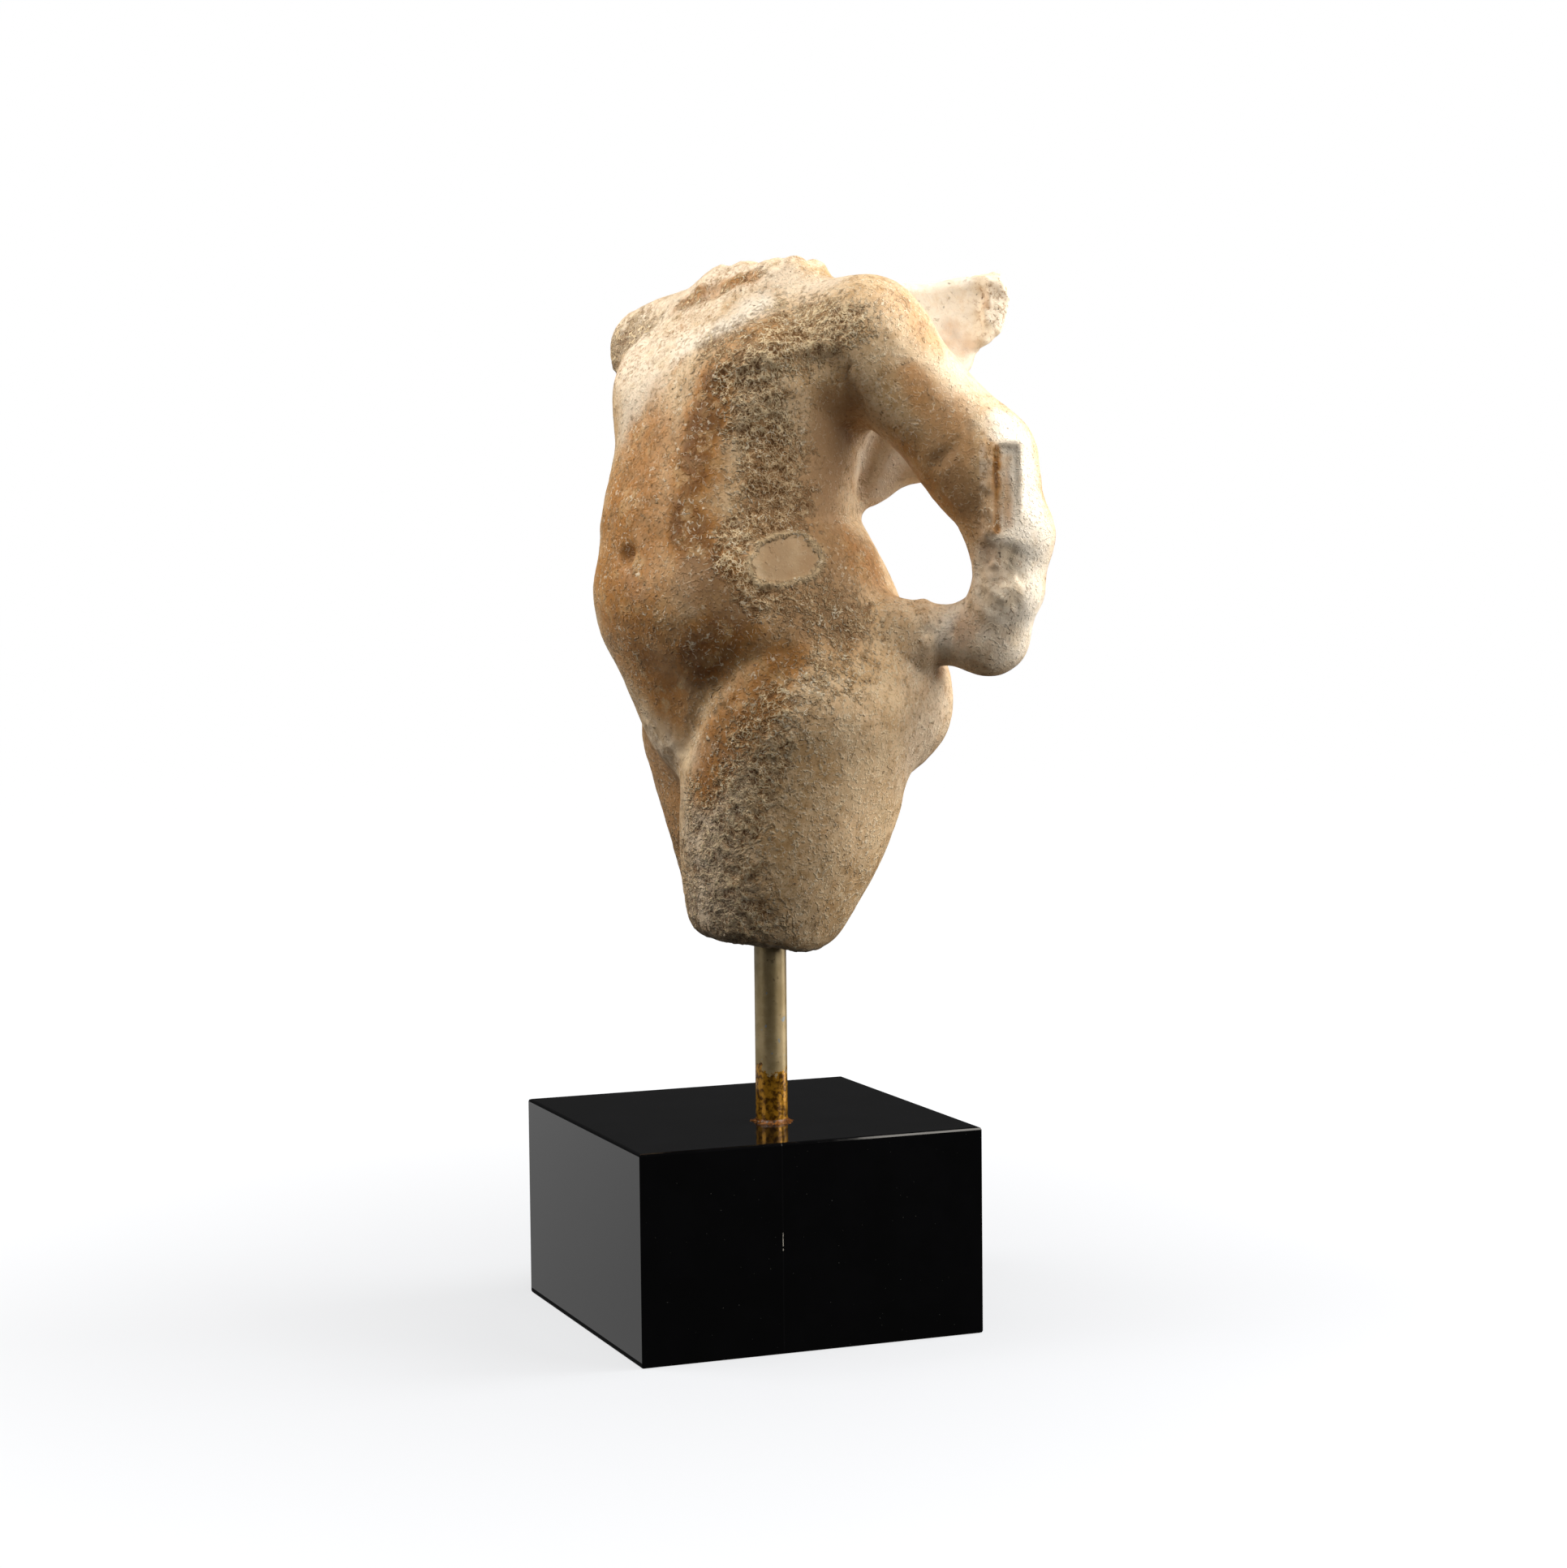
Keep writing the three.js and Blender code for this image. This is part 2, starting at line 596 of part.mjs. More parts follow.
function makeTorso() {
  const fine = closedFacets(marble, DRAWN_SPACE, CARVING_STEP);
  const { positions, triangles } = finished(thinned(fine, MOST_FACETS), marble);
  const stone = positions.map((v, i) => (i % 3 === 2 ? v - DRAWN_LOWEST : v) * SCALE);
  const bore = uprightBar(boreRadius, -ROD_SHOWN, ROD_IN_MARBLE + CLEARANCE, 0);
  bore.translate(rodPlace.x, rodPlace.y, 0);
  const material = new THREE.MeshStandardMaterial({ color: 0xcdb79a, roughness: 0.6, metalness: 0 });
  const torso = new THREE.Mesh(geometryOf(solidFrom(stone, triangles).subtract(solidOf(bore))), material);
  torso.name = 'marble_torso';
  torso.rotation.z = turn;
  torso.position.z = marbleBottom;
  return torso;
}

function makeRod() {
  const material = new THREE.MeshStandardMaterial({ color: 0x8a7a5c, roughness: 0.45, metalness: 0.6 });
  const rod = new THREE.Mesh(uprightBar(ROD_DIAMETER / 2, rodBottom, rodTop, ROD_BEVEL), material);
  rod.name = 'support_rod';
  rod.position.set(rodOnBlock.x, rodOnBlock.y, 0);
  return rod;
}

function makeBlock() {
  const half = BLOCK_SIDE / 2 - BLOCK_BEVEL;
  const square = new THREE.Shape([[-half, -half], [half, -half], [half, half], [-half, half]]
    .map(([x, y]) => new THREE.Vector2(x, y)));
  const geometry = new THREE.ExtrudeGeometry(square, {
    depth: BLOCK_HEIGHT - 2 * BLOCK_BEVEL,
    bevelSize: BLOCK_BEVEL,
    bevelThickness: BLOCK_BEVEL,
    bevelSegments: 2,
  });
  geometry.translate(0, 0, BLOCK_BEVEL);
  const bore = uprightBar(boreRadius, rodBottom - CLEARANCE, BLOCK_HEIGHT + ROD_SHOWN, 0);
  bore.translate(rodOnBlock.x, rodOnBlock.y, 0);
  const material = new THREE.MeshStandardMaterial({ color: 0x101012, roughness: 0.08, metalness: 0 });
  const block = new THREE.Mesh(geometryOf(solidOf(geometry).subtract(solidOf(bore))), material);
  block.name = 'base_block';
  return block;
}

const group = new THREE.Group();
group.add(makeTorso(), makeRod(), makeBlock());

export default group;
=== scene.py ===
import math

import bpy
import mathutils
import numpy as np
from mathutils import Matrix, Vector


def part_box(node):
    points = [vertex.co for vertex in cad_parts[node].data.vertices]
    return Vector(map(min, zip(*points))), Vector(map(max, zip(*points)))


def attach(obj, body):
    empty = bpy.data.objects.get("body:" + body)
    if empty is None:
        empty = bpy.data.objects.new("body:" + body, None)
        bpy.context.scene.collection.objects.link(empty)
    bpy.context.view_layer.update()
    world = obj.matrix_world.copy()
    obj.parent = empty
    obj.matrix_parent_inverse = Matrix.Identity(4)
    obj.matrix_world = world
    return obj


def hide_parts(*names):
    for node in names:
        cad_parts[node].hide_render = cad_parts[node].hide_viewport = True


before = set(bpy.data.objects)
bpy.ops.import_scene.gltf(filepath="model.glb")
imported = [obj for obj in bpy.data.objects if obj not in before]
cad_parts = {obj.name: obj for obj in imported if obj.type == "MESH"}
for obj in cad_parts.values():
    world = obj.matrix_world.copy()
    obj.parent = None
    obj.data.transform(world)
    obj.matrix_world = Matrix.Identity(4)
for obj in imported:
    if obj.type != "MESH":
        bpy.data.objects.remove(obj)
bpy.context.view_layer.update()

# A boy's winged torso in worn marble, on a brass rod above a polished black block.
# The sculpture is worked out in millimetres in the figure's own frame: x to its left, y to its
# back and z up from the thigh break. FIGURE_TURN and FIGURE_LIFT bring it to its place.
MM = 0.001
FIGURE_TURN = math.radians(10)
TURN_COS, TURN_SIN = math.cos(FIGURE_TURN), math.sin(FIGURE_TURN)
BLOCK_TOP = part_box("base_block")[1].z / MM
ROD_SHOWN = 53.5
LOWEST_MARBLE = 2
FIGURE_LIFT = BLOCK_TOP + ROD_SHOWN - LOWEST_MARBLE
ROD_PLACE = (17.9, -2.1)
ROD_RADIUS = 5.0
BORE_RADIUS = 5.3
BORE_TOP = 32.3  # 30 mm into the marble, and 0.3 mm clear of the rod
BORE_MARGIN = (0.4, 1)  # round the bore and above it, where no relief is pushed out

GRID_STEP = 0.86
SPACE_LOW = (-71.5, -60.0, -8.0)
SPACE_HIGH = (98.0, 98.0, 222.0)
MOST_TRIANGLES = 196000

# Level sections: height, centre x and y, half width, half depth, turn in degrees
TRUNK = [
    (50, 3, 10, 34, 28, 0), (66, 4, 9, 43, 38, 0), (84, 4, 7, 48.5, 41.5, 0),
    (100, 3, 4, 49, 45, 0), (112, 2, 1, 47, 45, 0), (124, 0, -1, 45, 42, 0),
    (136, -2, -3, 41, 39, 3), (152, -3, 0, 41, 37, 5), (168, -2, 2, 41, 34, 8),
    (184, 0, 6, 39, 30, 10), (197, 0, 9, 31, 23, 10), (207, 0, 9, 20, 17, 10),
]
LEFT_THIGH = [
    (-8, 16.5, -5.5, 16, 16, 0), (4, 17.5, -4, 21.5, 21.5, 0), (15, 18.5, -2, 26, 26, 0),
    (30, 19.5, 1.5, 30.5, 31, 0), (45, 20.5, 4.3, 33, 34.3, 0), (60, 22, 6.5, 35, 36.5, 0),
    (76, 25, 8, 35.5, 36, 0), (94, 27, 10, 29, 31, 0),
]

# Joints of the pose
LEFT_SHOULDER = (40, 20, 187)
RIGHT_SHOULDER = (-46.5, -3.5, 189.5)
UPPER_ARM_MIDDLE = (63.3, 45.6, 150)
LEFT_ELBOW = (71.6, 51, 128)
LEFT_WRIST = (68, 54, 112)
LEFT_HAND = (61, 51, 98)
STRUT_ROOT = (41, 26, 98)

# Directions across the outer side of the left arm: along it to the back, and out of it
ALONG = np.array((0.524, 0.852, 0))
OUT = np.array((0.852, -0.524, 0))

# The wing stub: where it starts, the way it runs, and its outline as distance out and height
WING_ROOT = (16, 32)
WING_RUN = (0.569, 0.822)
WING_OUTLINE = [
    (-8, 204), (20, 206.5), (45, 208.5), (48, 201), (45, 191), (38, 184),
    (33, 176), (30, 160), (22, 146), (10, 141), (-8, 131),
]
WING_HALF_THICKNESS = 6
WING_EDGE = 3.6
WING_FOLD = 0.9  # depth of the folds near its lower edge
WING_FOLD_TOP = 170
WING_FOLD_FADE = 14
WING_WAVE, WING_WAVE_LENGTH = 1.2, 14
WING_LEAN, WING_LEAN_FROM = 0.2, 188
WING_SWELLS = [(206, 1.8), (192, -1)]  # height, and how much thicker it is there
WING_SWELL_REACH = 6

# What is left of a fluted piece on the arm: its middle, half sizes, rounded edge and grooves
FLUTED_ALONG, FLUTED_OUT, FLUTED_HEIGHT = 78.5, 42, 141.2
FLUTED_HALF = (7, 4.9, 14.4)
FLUTED_EDGE = 1.6
FLUTES = [(76.6, 1.1, 3), (79.2, 1.5, 1.6), (81.6, 0.9, 0.8)]  # place, width, depth
FLUTE_FADE = (3, 1.2)  # how far from its ends the grooves start to fade, and are gone
FLUTED_INSET, FLUTED_SLANT = 1.6, 0.4  # of the slanted right side
SLANT_SHARE = 0.93  # 1 over the length of (1, slant), which makes it a distance
PITTED_STRIP = (75, 77)  # left of this, fading, the face is pitted

# The rough patch below the flutes, and the ring round the strut
TORN_MIDDLE, TORN_HALF = (77, 114, 46), (8, 12, 10)  # along, up and out
TORN_SINK, TORN_LUMPS = 0.1, 0.7
RING_PLACE, RING_WIDTH, RING_RISE = 55.8, 2.2, 1.3
RING_MIDDLE, RING_HALF = (24, 98), (16, 14)  # out and up


def join(a, b, reach):
    """Soft lower of two distances: the crease between them is filled over the reach."""
    h = np.clip(0.5 + 0.5 * (b - a) / reach, 0, 1)
    return b + (a - b) * h - reach * h * (1 - h)


def trim(a, b, reach):
    """Soft higher of two distances, which cuts one by the other."""
    return -join(-a, -b, reach)


def length(*parts):
    """Square root of the sum of squares."""
    return np.sqrt(sum(part * part for part in parts))


def egg(centre, radii):
    """Distance to an ellipsoid: n (n - 1) / g, with n the length of the scaled place and g of its slope."""
    def distance(p):
        q = (p - centre) / radii
        near = length(*q.T)
        steep = length(*(q / radii).T) + 1e-9
        return near * (near - 1) / steep
    return distance


def limb(start, end, start_radius, end_radius):
    """Distance to a ball at each end and the cone that touches both."""
    start, end = np.array(start, float), np.array(end, float)
    run = end - start
    length2 = run @ run
    fall = start_radius - end_radius
    slant = length2 - fall * fall

    def distance(p):
        q = p - start
        y = q @ run
        z = y - length2
        x2 = np.maximum((q * q).sum(1) * length2 - y * y, 0) * length2
        y2, z2 = y * y * length2, z * z * length2
        k = np.sign(fall) * fall * fall * x2
        side = (np.sqrt(x2 * slant / length2) + y * fall) / length2 - start_radius
        first = np.sqrt(x2 + y2) / length2 - start_radius
        last = np.sqrt(x2 + z2) / length2 - end_radius
        d = np.where(np.sign(y) * slant * y2 < k, first, side)
        return np.where(np.sign(z) * slant * z2 > k, last, d)
    return distance


def between(rows, column, z):
    """One column of the sections at height z, on a cubic curve through the rows."""
    heights, values = rows[:, 0], rows[:, column]
    slopes = np.empty_like(values)
    slopes[1:-1] = (values[2:] - values[:-2]) / (heights[2:] - heights[:-2])
    slopes[0] = (values[1] - values[0]) / (heights[1] - heights[0])
    slopes[-1] = (values[-1] - values[-2]) / (heights[-1] - heights[-2])
    at = np.clip(z, heights[0], heights[-1])
    i = np.clip(np.searchsorted(heights, at) - 1, 0, len(rows) - 2)
    step = heights[i + 1] - heights[i]
    t = (at - heights[i]) / step
    t2, t3 = t * t, t * t * t
    return ((2 * t3 - 3 * t2 + 1) * values[i] + (3 * t2 - 2 * t3) * values[i + 1]
            + (t3 - 2 * t2 + t) * step * slopes[i] + (t3 - t2) * step * slopes[i + 1])


def loft(rows):
    """Distance to a stack of level ellipses, each with its centre, half sizes and turn."""
    rows = np.array(rows, float)

    def distance(p):
        z = p[:, 2]
        x, y, wide, deep, turn = (between(rows, column, z) for column in range(1, 6))
        c, s = np.cos(np.radians(turn)), np.sin(np.radians(turn))
        across = c * (p[:, 0] - x) + s * (p[:, 1] - y)
        inward = c * (p[:, 1] - y) - s * (p[:, 0] - x)
        near = length(across / wide, inward / deep)
        steep = length(across / wide ** 2, inward / deep ** 2) + 1e-9
        return trim(near * (near - 1) / steep, np.maximum(rows[0, 0] - z, z - rows[-1, 0]), 8)
    return distance


def lumps(p, grain, seed):
    """Lumps of a broken face between -1 and 1: the mean of three sines bent by each other."""
    x, y, z = p[:, 0] / grain + seed, p[:, 1] / grain - 0.7 * seed, p[:, 2] / grain + 1.3 * seed
    a = np.sin(2.1 * x + 1.3 * y + np.sin(1.7 * z + 0.6 * x))
    b = np.sin(2.3 * y - 1.1 * z + 1.4 * np.sin(1.9 * x))
    c = np.sin(2.6 * z + 1.2 * x - 0.9 * np.sin(2.2 * y))
    return (a + b + c) / 3


def outline_distance(x, y, outline):
    """Signed distance to a closed flat outline: the nearest of its edges, below zero inside."""
    best = np.full(x.shape, np.inf)
    inside = np.full(x.shape, -1.0)
    for i, a in enumerate(outline):
        b = outline[i - 1]
        edge = (b[0] - a[0], b[1] - a[1])
        way = (x - a[0], y - a[1])
        t = np.clip((way[0] * edge[0] + way[1] * edge[1]) / (edge[0] ** 2 + edge[1] ** 2), 0, 1)
        best = np.minimum(best, length(way[0] - edge[0] * t, way[1] - edge[1] * t))
        above, under, turn = y >= a[1], y < b[1], edge[0] * way[1] > edge[1] * way[0]
        inside = np.where((above & under & turn) | (~above & ~under & ~turn), -inside, inside)
    return -inside * best


def slab(sides, edge):
    """Distance to a slab given by the distances to its sides, with rounded edges."""
    outside = length(*(np.maximum(side, 0) for side in sides))
    return outside + np.minimum(np.maximum.reduce(sides), 0) - edge


def wing_place(p):
    """How far out from the wing's root a point is, and how far across the wing."""
    x, y = p[:, 0] - WING_ROOT[0], p[:, 1] - WING_ROOT[1]
    return x * WING_RUN[0] + y * WING_RUN[1], x * WING_RUN[1] - y * WING_RUN[0]


def wing(p):
    """The wing stub: a slab within the outline, waved along its length, with folds near its lower edge,
    that leans back and thickens towards its upper edge."""
    out, across = wing_place(p)
    z = p[:, 2]
    rim = outline_distance(out, z, WING_OUTLINE) + WING_EDGE + 0.8 * lumps(p, 7, 3)
    shown = np.clip((WING_FOLD_TOP - z) / WING_FOLD_FADE, 0, 1)
    fold = WING_FOLD * np.sin(0.5 * (out - 0.55 * (z - 150))) * shown
    lean = WING_LEAN * np.maximum(z - WING_LEAN_FROM, 0)
    swell = sum(more * np.exp(-((z - height) / WING_SWELL_REACH) ** 2) for height, more in WING_SWELLS)
    middle = across + WING_WAVE * np.sin(out / WING_WAVE_LENGTH) + lean
    face = np.abs(middle) - (WING_HALF_THICKNESS - WING_EDGE) + fold - swell
    return slab([rim, face], WING_EDGE)


def fluted(p):
    """The fluted remnant on the arm: a slab with a sloped right side, whose outer face has upright
    grooves of a bell section that stop short of its ends, and a pitted strip at its left."""
    along, out, rise = p @ ALONG, p @ OUT, p[:, 2] - FLUTED_HEIGHT
    depth = sum(most * np.exp(-((along - place) / width) ** 2) for place, width, most in FLUTES)
    half_along, half_out, half_rise = FLUTED_HALF
    depth = depth * (1 - soft_step(np.abs(rise), *(half_rise - inside for inside in FLUTE_FADE)))
    left, right = PITTED_STRIP
    depth = depth + 0.5 * lumps(p, 2.6, 6) * soft_step(-along, -right, -left) + 0.35 * lumps(p, 8, 8)
    slant = along - FLUTED_ALONG - half_along + FLUTED_INSET + FLUTED_SLANT * (out - FLUTED_OUT - half_out)
    sides = [
        FLUTED_ALONG - 0.03 * rise - half_along - along + 0.3 * lumps(p, 5, 4),
        SLANT_SHARE * slant,
        np.abs(out - FLUTED_OUT) - half_out + depth,
        np.abs(rise) - half_rise + 0.5 * lumps(p, 4, 5),
    ]
    return slab([side + FLUTED_EDGE for side in sides], FLUTED_EDGE)


# The forms in the order they are joined, each with the reach of its join
FORMS = [
    (loft(TRUNK), 0),
    (limb((0.8, 9.3, 198), (1.8, 10.3, 217), 18.5, 17), 8),  # neck
    (limb((6, 10, 192), LEFT_SHOULDER, 15, 17.5), 12),
    (limb((-12, 7, 195), RIGHT_SHOULDER, 15.5, 14.5), 10),
    (egg((20, -7, 178), (22, 13, 13)), 14),  # breast
    (egg((-20, -15, 176), (20, 13, 14)), 14),
    (egg((-1, -18, 107), (32, 25, 22)), 12),  # belly
    (egg((22, 27, 180), (14, 10, 20)), 10),  # shoulder blades
    (egg((-22, 22, 180), (14, 10, 20)), 10),
    (limb((-2, -17, 86), (0, -21, 69), 18, 8), 9),  # lower belly down to the worn groin
    (egg((24, 28.5, 78), (28, 28.5, 26)), 8),  # buttocks
    (egg((-24, 26, 75), (26, 26, 25)), 8),
    (limb((-21.5, 10.5, 68), (-15, 14, 0), 30.3, 18), 5),  # right thigh
    (loft(LEFT_THIGH), 5),
]
ARM = [
    (limb(LEFT_SHOULDER, UPPER_ARM_MIDDLE, 17.6, 15.2), 0),
    (limb(UPPER_ARM_MIDDLE, LEFT_ELBOW, 15.2, 11.8), 10),
    (limb(LEFT_ELBOW, LEFT_WRIST, 11.8, 10), 6),
    (egg(LEFT_HAND, (11, 12, 12)), 5),
]
ARM_JOIN = 9
ATTACHED = [
    (limb(STRUT_ROOT, LEFT_HAND, 10, 8.6), 4),
    (limb((36, 20, 97), (46, 30, 98), 15, 10), 4),  # flare of the strut at the hip
    (limb((70.9, 48.9, 126), (72, 49.2, 111), 8.6, 9), 3),  # stump of the broken piece below the flutes
    (limb((72, 49.2, 111), (64, 48, 97.5), 8.6, 10.4), 6),
    (wing, 5),
    (fluted, 1.2),
]

# Channels cut along a line: points, width, depth
CHANNELS = [
    ([(48, -12, 97), (37, -27, 89), (27, -30, 81), (18, -29, 68), (11, -27, 61)], 3.6, 2.6),  # groin
    ([(-48, -4, 92), (-36, -22, 86), (-26, -28, 78), (-16, -28, 68)], 3.6, 2.2),
    ([(36, -12, 134), (40, 2, 133), (34, 19, 133), (24, 30, 134)], 3, 1.4),  # waist
    ([(0, 46, 190), (-1, 38, 160), (0, 36, 130), (2, 44, 108)], 7, 3),  # spine
    ([(1, 58, 98), (1, 60, 74), (1, 44, 56)], 5, 4),  # between the buttocks
    ([(50, 34, 52), (28, 38, 52), (6, 34, 54)], 5, 2),  # under the buttocks
    ([(-46, 26, 50), (-26, 34, 49), (-4, 32, 54)], 5, 2),
    ([(24, -26, 170), (34, -18, 173), (43, -6, 178), (52, 4, 184)], 5, 1.2),  # under the breast
    ([(50, 2, 182), (49, 8, 174), (46, 13, 166), (40, 22, 158)], 4, 1.6),  # armpit
    ([(-1, -44, 196), (-2, -40, 170), (-1, -44, 140)], 6, 1.6),  # breastbone
    ([(74, 31, 157), (71, 28, 152), (65, 27, 147)], 2, 1.1),  # crook of the elbow
    ([(-6, -9.3, 203.5), (2.5, -8.8, 203.3), (8.6, -6.6, 205.3), (14.4, -1.4, 208.5)], 1.8, 2.4),  # neck
    ([(32, 48, 188.4), (35, 51.5, 189.2), (38.4, 55.8, 194)], 0.9, 1.4),  # crack in the wing
    ([(44.6, 62.9, 204), (44, 62, 197), (43.7, 62.3, 187)], 2.2, -1.8),  # ridge beside it
    ([(33, 49, 204), (42, 61, 207.5), (47, 68, 205)], 3, -1.2),
    ([(22, -24, 171), (27, -22, 174), (35, -17, 176), (42, -8.5, 177.4), (47, 3, 179),
      (52, 5, 182)], 3.5, 0.6),  # creases of the armpit
    ([(24, -23, 179), (34, -17.6, 182), (40.5, -10.5, 183), (44, -1, 184), (52, 4, 185.4)], 4, -0.7),
    ([(47.2, 8, 173.4), (50.7, 7.5, 177.2), (53.3, 7.5, 179.4)], 0.9, 0.9),  # cracks at the armpit
    ([(50.9, 11.3, 171.3), (49.2, 13.5, 167.9), (44.1, 15.1, 165.7)], 0.9, 0.9),
    ([(61.8, 27, 147.5), (69.5, 29.1, 151.6), (74.7, 32.8, 155)], 2.4, 0.5),  # folds of the elbow
    ([(74.2, 35.2, 161), (75, 33.1, 156.2), (76.2, 33.7, 147.8)], 1.6, 1),
    ([(70, 37, 127), (76, 38.5, 126.4), (80.5, 41.6, 126.7), (86, 49, 124)], 2, -0.7),  # ledges of the break
    ([(67, 39, 119), (74.8, 44, 117), (78.3, 48, 116), (79, 55, 111)], 2.2, -0.9),
    ([(68.7, 43, 101.5), (71.5, 47, 104.6), (75.2, 49.7, 107.7)], 2, 0.9),  # hollow of the fist
    ([(60.1, 39.6, 105), (61.8, 37.4, 98.6), (61.7, 38.9, 93)], 1.5, 1),  # where the strut meets the fist
    ([(74.4, 52, 104.5), (70.9, 56.3, 97), (70.2, 52.6, 91.6)], 1.5, -0.7),
    ([(36.3, -11.5, 148.2), (36.7, -9, 147.8), (37.2, -6, 147.2)], 1.6, 0.8),  # hole in the crust
    ([(38.9, -3, 133.1), (37, 8.2, 132.9), (31.5, 20, 133)], 1, -0.4),  # waist line
]

# Round hollows, or swellings where the depth is below zero: centre, radius, depth
HOLLOWS = [
    ((4.4, -42, 122.8), 2.9, 5),  # navel
    ((3.5, -45, 128), 3.5, 0.8),
    ((89, 47, 106), 4, -1.2),  # knuckles
    ((87, 52, 101), 4, -0.8),
    ((23.6, -29.7, 40.7), 2.1, 1.8),  # pits in the thigh
    ((29.7, -28, 75.3), 1.3, 1.1),
    ((33.9, -26.7, 77.3), 1, 0.9),
    ((37, -25.2, 79.3), 1.1, 0.8),
    ((53.7, 24.7, 102.4), 4, -1.3),  # knob and pit of the strut
    ((57.9, 30.1, 99.2), 1.9, 1.7),
    ((42.6, 60.6, 202), 3, 2.6),  # dents in the wing
    ((47.4, 66.3, 200.5), 2.2, 2.2),
    ((46, 64.3, 190.5), 3, 2),
    ((39.3, 57.2, 188.5), 4, 2.2),
    ((38.2, 55.5, 196.6), 5, 0.8),
    ((44, 61.5, 204), 6.5, -1.8),  # swollen end of the wing
    ((48, 68, 197), 5, -1.4),
    ((-8, -10, 206), 3, -1.8),  # lumps of the neck
    ((6, -9, 207), 2.6, -1.4),
]

# Broken faces: a point, the way out, reach of the edge, height and grain of the lumps, seed
BREAKS = [
    ((17, -2, 3.6), (-0.068, -0.11, -1), 7, 0.8, 9, 2),  # thighs
    ((-3, 2, 213.5), (0.03, 0.045, 1), 2.5, 1.7, 5, 5),  # neck
    ((-1, -11, 204), (0.14, -0.6, 0.75), 3, 1.2, 6, 7),
    ((-20, -18, 194), (0, -0.79, 0.61), 3, 1.2, 7, 9),  # front of the right shoulder
    ((-57, 0, 192), (-0.9, 0.1, 0.35), 3, 1.4, 7, 4),  # right arm
]


def along_line(p, points):
    """Squared distance to a line through points, and the place along it from 0 to 1."""
    points = np.array(points, float)
    nearest = np.full(len(p), np.inf)
    place = np.zeros(len(p))
    last = len(points) - 1
    for i in range(last):
        run = points[i + 1] - points[i]
        way = p - points[i]
        t = np.clip(way @ run / (run @ run), 0, 1)
        off = ((way - t[:, None] * run) ** 2).sum(1)
        closer = off < nearest
        nearest = np.where(closer, off, nearest)
        place = np.where(closer, (i + t) / last, place)
    return nearest, place


def channel(p, points, width, depth):
    """A groove of a bell section along a line, which fades out at both ends."""
    nearest, place = along_line(p, points)
    fade = np.maximum(np.sin(math.pi * place), 0) ** 0.7
    return depth * fade * np.exp(-nearest / width ** 2)


def bell(p, centre, radius):
    """A round bell of height 1: exp of minus the squared distance over the squared radius."""
    return np.exp(-((p - np.array(centre, float)) ** 2).sum(1) / radius ** 2)


def flat_bell(places, middle, half):
    """A bell with a flat top: exp of minus the fourth power of the scaled distance from its middle."""
    away = sum(((place - m) / h) ** 2 for place, m, h in zip(places, middle, half))
    return np.exp(-away ** 2)


def forearm_break(p):
    """1 on the rough broken patch below the flutes, 0 away from it."""
    return flat_bell((p @ ALONG, p[:, 2], p @ OUT), TORN_MIDDLE, TORN_HALF)


def strut_ring(p):
    """The ring round the strut: a bell along it, kept to the strut's own width and height."""
    along = np.exp(-((p @ ALONG - RING_PLACE) / RING_WIDTH) ** 2)
    return along * flat_bell((p @ OUT, p[:, 2]), RING_MIDDLE, RING_HALF)


def beyond_break(p, point, way, height, grain, seed):
    """How far a point lies beyond a broken face: along the way out, with the lumps of the face."""
    return (p - point) @ np.array(way) / np.linalg.norm(way) + height * lumps(p, grain, seed)


def joined(p, forms):
    """The forms joined one after another, each with the reach of its join."""
    d = forms[0][0](p)
    for form, reach in forms[1:]:
        d = join(d, form(p), reach)
    return d


def from_rod(p):
    """How far a point lies from the rod's middle line."""
    return length(p[:, 0] - ROD_PLACE[0], p[:, 1] - ROD_PLACE[1])


def marble(p):
    """Signed distance to the marble, below zero inside: the forms joined, cut by the breaks, joined
    with the strut, stump, wing and fluted piece, then grooved, hollowed and bored."""
    d = join(joined(p, FORMS), joined(p, ARM), ARM_JOIN)
    for point, way, reach, *rough in BREAKS:
        d = trim(d, beyond_break(p, point, way, *rough), reach)
    for form, reach in ATTACHED:
        d = join(d, form(p), reach)
    for points, width, depth in CHANNELS:
        d = d + channel(p, points, width, depth)
    for centre, radius, depth in HOLLOWS:
        d = d + depth * bell(p, centre, radius)
    d = d - RING_RISE * strut_ring(p) + forearm_break(p) * (TORN_SINK + TORN_LUMPS * lumps(p, 3.6, 1))
    return np.maximum(d, -np.maximum(from_rod(p) - BORE_RADIUS, p[:, 2] - BORE_TOP))


def grid(count):
    """Every whole-number place in a box of count steps, as rows."""
    return np.stack(np.meshgrid(*[np.arange(n) for n in count], indexing="ij"), -1).reshape(-1, 3)


def sampled(distance, low, count, step):
    """The distance on a grid. A block of the grid far from the surface keeps the value at its middle,
    and the others are cut into smaller blocks, down to the grid's own points."""
    value = np.empty(count)
    corners = grid([n // 8 for n in count]) * 8
    for wide, narrow in ((8, 2), (2, 1)):
        middle = distance(low + (corners + (wide - 1) / 2) * step)
        far = np.abs(middle) > 1.3 * wide * step
        filled = (corners[far][:, None] + grid([wide] * 3)).reshape(-1, 3)
        value[tuple(filled.T)] = np.repeat(middle[far], wide ** 3)
        corners = (corners[~far][:, None] + narrow * grid([wide // narrow] * 3)).reshape(-1, 3)
    value[tuple(corners.T)] = distance(low + corners * step)
    return value


